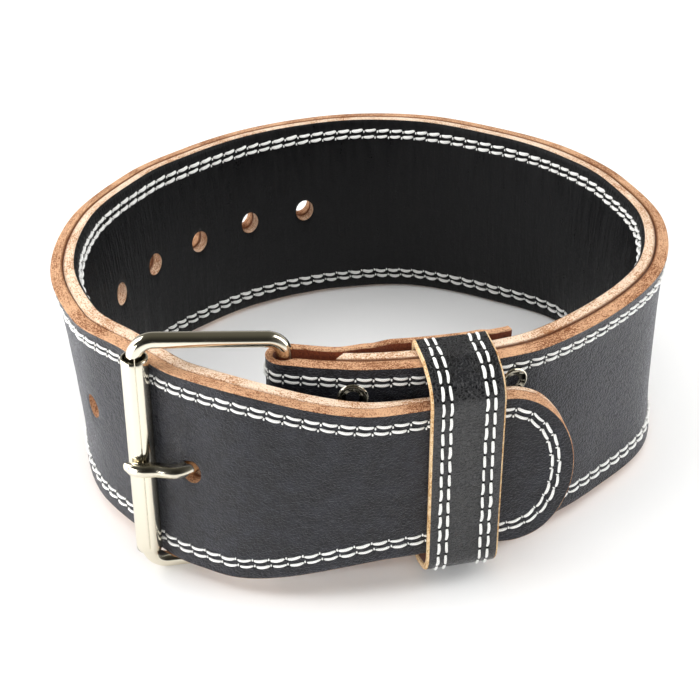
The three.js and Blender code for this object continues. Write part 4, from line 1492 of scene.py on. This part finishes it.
@dataclass
class Keeper:
    """The leather loop round the tail and the buckle end, with four lines of stitches."""

    course: Course
    stitching: Stitching
    rim: float = 0.9
    yarn: Yarn = Yarn(radius=0.66, drawn=0.9, bow=0.2, slant=0.3)
    corner_steps: int = 14
    straight_steps: tuple[int, ...] = (10, 12, 44, 12, 10, 30)
    stitch_offsets: tuple[float, ...] = (-11, -7.6, 7.6, 11)
    pitch: float = 7.2

    def __post_init__(self) -> None:
        """Finds the keeper's middle station."""
        s = self.course.sizes
        place = np.array(s.keeper_centre)
        self.spot, self.tangent, self.normal = self.course.plan(self.course.strap, place)
        self.flare = float(table_value(self.course.row_places, self.course.flares, place))

    def crossing(self, line: np.ndarray, aside: float) -> float:
        """How far out a plan line lies where it crosses the keeper at a distance from its middle."""
        offset = line - (self.spot + self.tangent * aside)
        return float(np.interp(0, offset @ self.tangent, offset @ self.normal))

    def loop(self, aside: float) -> Placed:
        """Middle line of the keeper's leather at a distance from its middle.

        Args:
            aside: Distance across the keeper's width.

        Returns:
            Points and outward normals, out of the strap and up.
        """
        s = self.course.sizes
        places = s.keeper_centre + np.linspace(-1, 1, 81) * s.keeper_width
        billet_line, _, normal = self.course.plan(self.course.waist, places)
        rows = np.array(TAIL_ROWS)
        stand = s.tail_stand * table_value(rows[:, 0], rows[:, 1], places / s.tail_length)
        tail_line = billet_line + normal * (s.strap_thickness + stand)[:, None]
        billet = self.crossing(billet_line, aside)
        tail = self.crossing(tail_line, aside)
        edge_rise = (s.strap_thickness / 2) * (4 * self.flare) / s.middle
        over_edge = s.middle + edge_rise + s.clearance + s.keeper_thickness / 2
        shoulder = s.tail_width / 2 + s.keeper_shoulder
        back = billet - s.strap_thickness - s.clearance - s.keeper_thickness / 2
        front = tail + s.clearance + s.keeper_thickness / 2
        over = billet + s.keeper_thickness
        corners = np.array([
            (back, -over_edge), (over, -over_edge), (front, -shoulder),
            (front, shoulder), (over, over_edge), (back, over_edge),
        ])
        radii = [s.keeper_thickness, 3 * s.keeper_thickness, s.keeper_bend]
        return rounded_loop(corners, radii + radii[::-1], self.corner_steps, self.straight_steps)

    def spots(self, aside: float, out: float) -> Placed:
        """Points of the keeper at a distance from its middle and out of its leather's middle."""
        line, normals = self.loop(aside)
        at = line + normals * out
        plan = self.spot + self.tangent * aside + at[:, :1] * self.normal
        facing = raised(normals[:, :1] * self.normal, normals[:, 1])
        return raised(plan, self.course.sizes.middle + at[:, 1]), facing

    def build(self, finishes: Finishes) -> None:
        """Makes the keeper and its stitches."""
        s = self.course.sizes
        half, thick, rim = s.keeper_width / 2, s.keeper_thickness / 2, self.rim
        columns: list[tuple[float, float, int]] = []
        flat = half - rim
        for aside in (-flat, -13, *np.arange(-12, 12.5, 1.0), 13, flat):
            groove = sum(0.16 * math.exp(-(((aside - line) / 0.9) ** 2)) for line in self.stitch_offsets)
            columns.append((float(aside), thick - groove, Finish.GRAIN))
        columns[-1] = (*columns[-1][:2], Finish.EDGE)
        turns = np.radians([30, 60, 90])
        columns += [(flat + rim * math.sin(a), thick - rim + rim * math.cos(a), Finish.EDGE) for a in turns]
        columns += [(half, 0.0, Finish.EDGE)]
        edge = Finish.EDGE
        columns += [(flat + rim * math.cos(a), -thick + rim - rim * math.sin(a), edge) for a in (0, *turns)]
        columns[-1] = (*columns[-1][:2], Finish.FLESH)
        columns += [(0.0, -thick, Finish.FLESH)]
        columns += [(-flat - rim * math.sin(a), -thick + rim - rim * math.cos(a), edge) for a in (0, *turns)]
        columns += [(-half, 0.0, edge)]
        rise = (0, *turns[:2])
        columns += [(-flat - rim * math.cos(a), thick - rim + rim * math.sin(a), edge) for a in rise]
        spots = np.stack([self.spots(aside, out)[0] for aside, out, _ in columns], axis=1)
        surface = Surface()
        surface.sweep(spots, np.array([finish for *_, finish in columns]), closed=True)
        mesh = surface.mesh("keeper_loop", self.course)
        dress(mesh, (finishes.keeper, finishes.keeper_edge, finishes.flesh), ["keeper"])
        self.stitch(finishes)

    def stitch(self, finishes: Finishes) -> None:
        """Makes the keeper's stitches."""
        s = self.course.sizes
        random = np.random.default_rng(SEED + 1)
        stitching = self.stitching
        surface, hole_shade_discs = Surface(), Surface()
        tables: dict[float, Placed] = {}

        def place(arc: np.ndarray, aside: np.ndarray, rise: np.ndarray) -> Placed:
            """Point above the keeper's face at a length round it and a distance across it."""
            base = float(np.round(np.mean(aside), 1))
            if base not in tables:
                tables[base] = self.spots(base, s.keeper_thickness / 2 - 0.1)
            spots, facing = tables[base]
            spots = np.vstack([spots, spots[:1]])
            facing = np.vstack([facing, facing[:1]])
            lengths = np.concatenate([[0], np.cumsum(np.linalg.norm(np.diff(spots, axis=0), axis=1))])
            spot = np.stack([np.interp(arc, lengths, spots[:, i]) for i in range(3)], axis=-1)
            out = np.stack([np.interp(arc, lengths, facing[:, i]) for i in range(3)], axis=-1)
            sideways = np.append(self.tangent, 0.0)
            return spot + out * rise[..., None] + (aside - base)[..., None] * sideways, out

        for line in self.stitch_offsets:
            spots, _ = self.spots(line, s.keeper_thickness / 2)
            total = np.linalg.norm(np.diff(np.vstack([spots, spots[:1]]), axis=0), axis=1).sum()
            back = s.strap_width + 2 * s.keeper_thickness
            visible = total - back
            count = round(visible / self.pitch)
            arcs = np.linspace(2, visible + 2, count + 1)
            ends = np.stack([arcs, np.full(len(arcs), line)], axis=-1)
            bow_sign = np.where(random.random(len(arcs) - 1) > 0.5, 1.0, -1.0)
            strands = stitching.strand_spots(ends[:-1], ends[1:], self.yarn, place, 1.0, bow_sign, random)
            surface.strands(strands, *stitching.wrap(self.pitch, self.yarn))
            spot, facing = place(arcs, np.full(len(arcs), line), np.full(len(arcs), 0.1))
            # Painted needle-hole shade: a dark disc at each needle place.
            stitching.hole_shade_discs(hole_shade_discs, spot, facing)
        dress(surface.mesh("stitches_keeper", self.course), (finishes.thread,))
        dress(hole_shade_discs.mesh("keeper_needle_hole_shade_discs", self.course), (finishes.hole_shade,))


@dataclass
class Buckle:
    """Wire frame, roller and prong, plated with nickel."""

    course: Course
    wire_sides: int = 32
    corner_steps: int = 18
    prong_squareness: float = 0.52
    eye_squareness: float = 0.6
    ridge: float = 0.6
    ridge_level: float = 0.12

    def upright(self, line: np.ndarray) -> np.ndarray:
        """Points in the frame's plane, out from the bar and up."""
        plan = self.course.bar + line[..., :1] * self.course.frame_along
        return raised(plan, line[..., 1])

    def frame_mesh(self) -> bpy.types.Mesh:
        """Round wire bent into a closed four-cornered loop."""
        s, c = self.course.sizes, self.course
        corners = np.array([
            (0, c.frame_bottom), (s.frame_reach, c.frame_bottom),
            (s.frame_reach, c.frame_top), (0, c.frame_top - s.frame_taper),
        ])
        line, normals = rounded_loop(corners, [s.corner_radius] * 4, self.corner_steps, [16] * 4)
        centres = self.upright(line)
        spokes = raised(normals[:, :1] * c.frame_along, normals[:, 1])
        turn = np.linspace(0, 2 * math.pi, self.wire_sides, endpoint=False)
        out = np.append(c.frame_out, 0.0)
        radius = s.wire_diameter / 2
        rings = (
            centres[:, None, :]
            + radius * np.cos(turn)[None, :, None] * spokes[:, None, :]
            + radius * np.sin(turn)[None, :, None] * out
        )
        surface = Surface()
        surface.sweep(rings, closed=True)
        return surface.mesh("buckle_wire_frame", c)

    def roller_mesh(self) -> bpy.types.Mesh:
        """Tube rolled from sheet, with its seam open on the side that faces out."""
        s, c = self.course.sizes, self.course
        length = c.frame_top - c.frame_bottom - 2 * (s.corner_radius + s.clearance)
        middle = (c.frame_top + c.frame_bottom) / 2
        seam = math.atan2(c.frame_out[1], c.frame_out[0])
        outer, wall, lip = s.roller_diameter / 2, s.roller_wall, 0.3
        gap = s.roller_seam / 2 / outer
        turn = np.linspace(seam + gap, seam - gap + 2 * math.pi, 72)
        radii = np.full(len(turn), outer)
        roll = np.minimum(turn - turn[0], turn[-1] - turn)
        radii -= 0.25 * np.exp(-((roll / 0.09) ** 2))
        heights = [-length / 2, -length / 2 + lip, *np.linspace(-length / 2 + 3, length / 2 - 3, 24)]
        heights += [length / 2 - lip, length / 2]
        rings = []
        for place, height in enumerate(heights):
            edge = lip if place in (0, len(heights) - 1) else 0.0
            outside = np.stack([np.cos(turn), np.sin(turn)], axis=-1) * (radii - edge)[:, None]
            inside = (np.stack([np.cos(turn), np.sin(turn)], axis=-1) * (outer - wall))[::-1]
            ring = np.vstack([outside, inside]) + c.roller_axis
            rings.append(raised(ring, np.full(len(ring), middle + height)))
        surface = Surface()
        surface.sweep(np.array(rings))
        return surface.mesh("buckle_roller", c)

    def prong_guide(self) -> tuple[np.ndarray, np.ndarray]:
        """Middle line of the prong, and the shares of its section at each row."""
        s, c = self.course.sizes, self.course
        radius = s.prong_depth / 2
        hole = np.array(c.roller_place + s.hole_beyond_roller)
        spot, tangent, normal = c.plan(c.strap, hole)
        rows, shares = [], []
        for out, along, rise in PRONG_STRAP_ROWS:
            plan = spot + normal * out * s.strap_thickness + tangent * along * s.prong_depth
            rows.append(raised(plan, s.hole_level + rise * s.prong_rise))
            shares.append((1.0, 1.0))
        for turn, gap, rise, depth, height in PRONG_ROLLER_ROWS:
            away = s.roller_diameter / 2 + gap * radius + s.clearance
            angle = math.radians(turn)
            plan = c.roller_axis + away * (math.cos(angle) * c.frame_out + math.sin(angle) * c.frame_along)
            rows.append(raised(plan, s.hole_level + rise * s.prong_rise))
            shares.append((depth, height))
        towards = rows[0][:2] - c.bar
        towards = towards / np.linalg.norm(towards)
        eye = s.wire_diameter / 2 + s.clearance + s.prong_eye_wall * 0.3
        start = raised(c.bar + towards * eye, s.hole_level)
        rows = [start, (start + rows[0]) / 2, *rows]
        shares = [(0.8, 0.9), (1.0, 1.0), *shares]
        return np.array(rows), np.array(shares)

    def prong_mesh(self) -> bpy.types.Mesh:
        """Forged prong: a flat-topped bar that ends in a blunt wedge, and its eye round the bar."""
        s, c = self.course.sizes, self.course
        rows, shares = self.prong_guide()
        curve = SmoothCurve(rows)
        params = np.linspace(0, len(rows) - 1, 14 * (len(rows) - 1) + 1)
        centre, ahead = curve.by_param(params)
        at = np.stack([np.interp(params, np.arange(len(rows)), shares[:, i]) for i in range(2)], axis=-1)
        side = np.cross((0.0, 0.0, 1.0), ahead)
        side /= np.linalg.norm(side, axis=1, keepdims=True)
        rise = np.cross(ahead, side)
        turn = np.linspace(0, 2 * math.pi, 48, endpoint=False)
        power = self.prong_squareness
        x = np.sign(np.cos(turn)) * np.abs(np.cos(turn)) ** power
        y = np.sign(np.sin(turn)) * np.abs(np.sin(turn)) ** power
        outward = x > 0
        x = np.where(outward, x * (1.12 - self.ridge * np.abs(y - self.ridge_level)), x)
        depth = at[:, 0] * s.prong_depth / 2
        height = at[:, 1] * s.prong_height / 2
        rings = (
            centre[:, None, :]
            + (depth[:, None] * x)[..., None] * side[:, None, :]
            + (height[:, None] * y)[..., None] * rise[:, None, :]
        )
        tip = []
        for share in (0.35, 0.65, 0.85, 0.96):
            shrink = math.sqrt(1 - share**2)
            moved = centre[-1] + ahead[-1] * share * depth[-1] * 0.9
            tip.append(moved + (rings[-1] - centre[-1]) * shrink)
        surface = Surface()
        surface.sweep(np.concatenate([rings, np.array(tip)]))
        self.add_eye(surface)
        return surface.mesh("buckle_prong", c)

    def add_eye(self, surface: Surface) -> None:
        """Adds the prong's eye, a rounded ring about the bar."""
        s, c = self.course.sizes, self.course
        inner = s.wire_diameter / 2 + s.clearance
        radius = inner + s.prong_eye_wall / 2
        turn = np.linspace(0, 2 * math.pi, 48, endpoint=False)
        around = np.linspace(0, 2 * math.pi, 16, endpoint=False)
        power = self.eye_squareness
        x = np.sign(np.cos(around)) * np.abs(np.cos(around)) ** power * s.prong_eye_wall / 2
        y = np.sign(np.sin(around)) * np.abs(np.sin(around)) ** power * s.prong_height / 2
        spoke = np.stack([np.cos(turn), np.sin(turn)], axis=-1)
        plan = c.bar + spoke[:, None, :] * (radius + x)[None, :, None]
        surface.sweep(raised(plan, s.hole_level + y), closed=True)

    def build(self, finishes: Finishes) -> None:
        """Makes the buckle's three pieces."""
        for mesh, node, sharp in (
            (self.frame_mesh(), "buckle_frame", 50), (self.roller_mesh(), "roller", 50),
            (self.prong_mesh(), "prong", 24),
        ):
            dress(mesh, (finishes.nickel,), [node], sharp_deg=sharp)


@dataclass
class Rivets:
    """Four dished rivets through the stack at the buckle end."""

    course: Course
    sides: int = 48
    petals: int = 6

    def profile(self, depth: float) -> list[tuple[float, float, float]]:
        """Radius, height and star share of the rivet's outline, from the bore's end to the back."""
        s = self.course.sizes
        head, bore, shank = s.rivet_head / 2, s.rivet_bore / 2, s.rivet_shank / 2
        crest = s.clearance + s.rivet_rim
        back = -depth - s.clearance
        axis = 0.02
        bottom = -0.6 * depth
        star_bore = [
            (axis, bottom, 0), (bore * 0.8, bottom, 1), (bore, -1.6, 1), (bore * 1.06, -0.75, 1),
            (bore * 1.2, -0.5, 0.6), (bore * 1.45, -0.3, 0.2),
        ]
        dish = [(head * 0.6, 0.15, 0), (head * 0.74, 0.65, 0), (head * 0.82, crest - 0.18, 0)]
        rim = [
            (head * 0.87, crest, 0), (head * 0.91, crest - 0.03, 0), (head * 0.96, crest - 0.3, 0),
            (head * 0.99, crest - 0.7, 0), (head, s.clearance + 0.2, 0), (head, s.clearance, 0),
        ]
        behind = [
            (shank, s.clearance, 0), (shank, back, 0), (head - 0.5, back, 0), (head - 0.7, back - 0.5, 0),
            (head - 1.6, back - s.rivet_rim, 0), (axis, back - s.rivet_rim, 0),
        ]
        return star_bore + dish + rim + behind

    def build(self, finishes: Finishes) -> None:
        """Makes the rivets."""
        s, c = self.course.sizes, self.course
        turn = np.linspace(0, 2 * math.pi, self.sides, endpoint=False)
        star = 1 - 0.16 * (0.5 + 0.5 * np.cos(self.petals * turn))
        number = 0
        for place in s.rivet_places:
            for height in (s.middle - s.rivet_inset, s.rivet_inset - s.middle):
                number += 1
                spot, facing = c.strap_spot(np.array(place), np.array(height), np.array(0.0))
                _, tangent, _ = c.plan(c.strap, np.array(place))
                side = np.append(tangent, 0.0)
                other = np.cross(facing, side)
                depth = float(c.return_depth(np.array(place)))
                rings = []
                for radius, rise, share in self.profile(depth):
                    round_radius = radius * (1 - share * (1 - star))
                    circle = np.cos(turn)[:, None] * side + np.sin(turn)[:, None] * other
                    rings.append(spot + circle * round_radius[:, None] + facing * rise)
                surface = Surface()
                surface.sweep(np.array(rings))
                mesh = surface.mesh(f"dished_rivet_{number}", c)
                dress(mesh, (finishes.nickel,), [f"rivet_{number}"])


@dataclass
class Studio:
    """Pale floor, soft studio light, and the camera at the photograph's angle."""

    course: Course
    lens_pixels: float = 1729.5
    frame_pixels: float = 700
    elevation_deg: float = 34.05
    eye: tuple[float, float, float] = (-7.79, -690.54, 503.11)
    sensor_mm: float = 36

    def camera(self) -> None:
        """Places the camera in the belt's own frame, tilted as the belt is."""
        data = bpy.data.cameras.new("camera")
        data.sensor_width = self.sensor_mm
        data.lens = self.lens_pixels / self.frame_pixels * self.sensor_mm
        data.clip_start, data.clip_end = 0.05, 20
        camera = bpy.data.objects.new("camera", data)
        bpy.context.scene.collection.objects.link(camera)
        tilt = math.radians(self.elevation_deg)
        right = np.array([1.0, 0.0, 0.0])
        ahead = np.array([0.0, math.cos(tilt), -math.sin(tilt)])
        axes = np.stack([right, np.cross(right, ahead), -ahead], axis=1)
        matrix = Matrix((self.course.turn @ axes).tolist()).to_4x4()
        matrix.translation = Vector(self.course.to_row(np.array(self.eye)))
        camera.matrix_world = matrix
        bpy.context.scene.camera = camera

    def floor(self) -> None:
        """Lays the floor."""
        mesh = bpy.data.meshes.new("floor")
        reach = 6.0
        corners = [(-reach, -reach, 0), (reach, -reach, 0), (reach, reach, 0), (-reach, reach, 0)]
        mesh.from_pydata(corners, [], [(0, 1, 2, 3)])
        mesh.materials.append(PaleFloor("pale_floor").build())
        floor = bpy.data.objects.new("floor", mesh)
        bpy.context.scene.collection.objects.link(floor)

    def light(
        self,
        name: str,
        spot: tuple[float, float, float],
        size: tuple[float, float],
        watts: float,
        seen: bool = True,
    ) -> None:
        """Hangs a softbox that faces the belt.

        Args:
            name: Name of the light.
            spot: Its place in metres.
            size: Its width and height in metres.
            watts: Its power.
            seen: Whether shiny pieces mirror it.
        """
        data = bpy.data.lights.new(name, "AREA")
        data.shape = "RECTANGLE"
        data.size, data.size_y = size
        data.energy = watts
        lamp = bpy.data.objects.new(name, data)
        lamp.visible_glossy = seen
        lamp.location = spot
        lamp.rotation_euler = (Vector((0, 0, 0.05)) - Vector(spot)).to_track_quat("-Z", "Y").to_euler()
        bpy.context.scene.collection.objects.link(lamp)

    def build(self) -> None:
        """Sets up the studio."""
        scene = bpy.context.scene
        scene.view_settings.view_transform = "Standard"
        world = bpy.data.worlds.new("studio_air")
        world.use_nodes = True
        tree = world.node_tree
        direction = add_node(tree, "ShaderNodeTexCoord").outputs["Generated"]
        parts = add_node(tree, "ShaderNodeSeparateXYZ", {0: direction})
        ramp = add_node(tree, "ShaderNodeValToRGB", {0: parts.outputs[2]})
        ramp_stops(ramp, ((0.0, "#ffffff"), (0.2, "#e8e8e4"), (0.5, "#8a8880"), (1.0, "#77756a")))
        front = add_node(tree, "ShaderNodeMapRange", {
            0: parts.outputs[1], 1: -0.9, 2: 0.1, 3: 0.08, 4: 1.0,
        })
        shaded = add_node(tree, "ShaderNodeVectorMath", {
            0: ramp.outputs["Color"], 3: front.outputs[0],
        }, operation="SCALE")
        tree.links.new(shaded.outputs[0], tree.nodes["Background"].inputs["Color"])
        tree.nodes["Background"].inputs["Strength"].default_value = 0.62
        scene.world = world
        self.floor()
        self.light("overhead_softbox", (0.1, 0.15, 1.6), (2.0, 2.0), 25, seen=False)
        self.light("front_fill", (0.1, -1.3, 0.8), (1.2, 0.8), 7, seen=False)
        self.light("left_softbox", (-1.0, 0.1, 0.55), (0.8, 1.2), 11)
        self.light("low_left_panel", (-0.95, -0.75, 0.25), (0.6, 0.4), 7)
        self.light("right_softbox", (1.0, 0.0, 0.6), (0.6, 1.2), 7)
        self.camera()


def main() -> None:
    logging.basicConfig(level=logging.INFO, format="%(name)s: %(message)s")
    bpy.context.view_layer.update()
    course = Course(BeltSizes())
    finishes = Finishes()
    layers = StrapLayers(course)
    layers.build(finishes)
    stitching = Stitching(course, layers)
    stitching.build(finishes)
    Keeper(course, stitching).build(finishes)
    Buckle(course).build(finishes)
    Rivets(course).build(finishes)
    Studio(course).build()


if __name__ == "__main__":
    main()
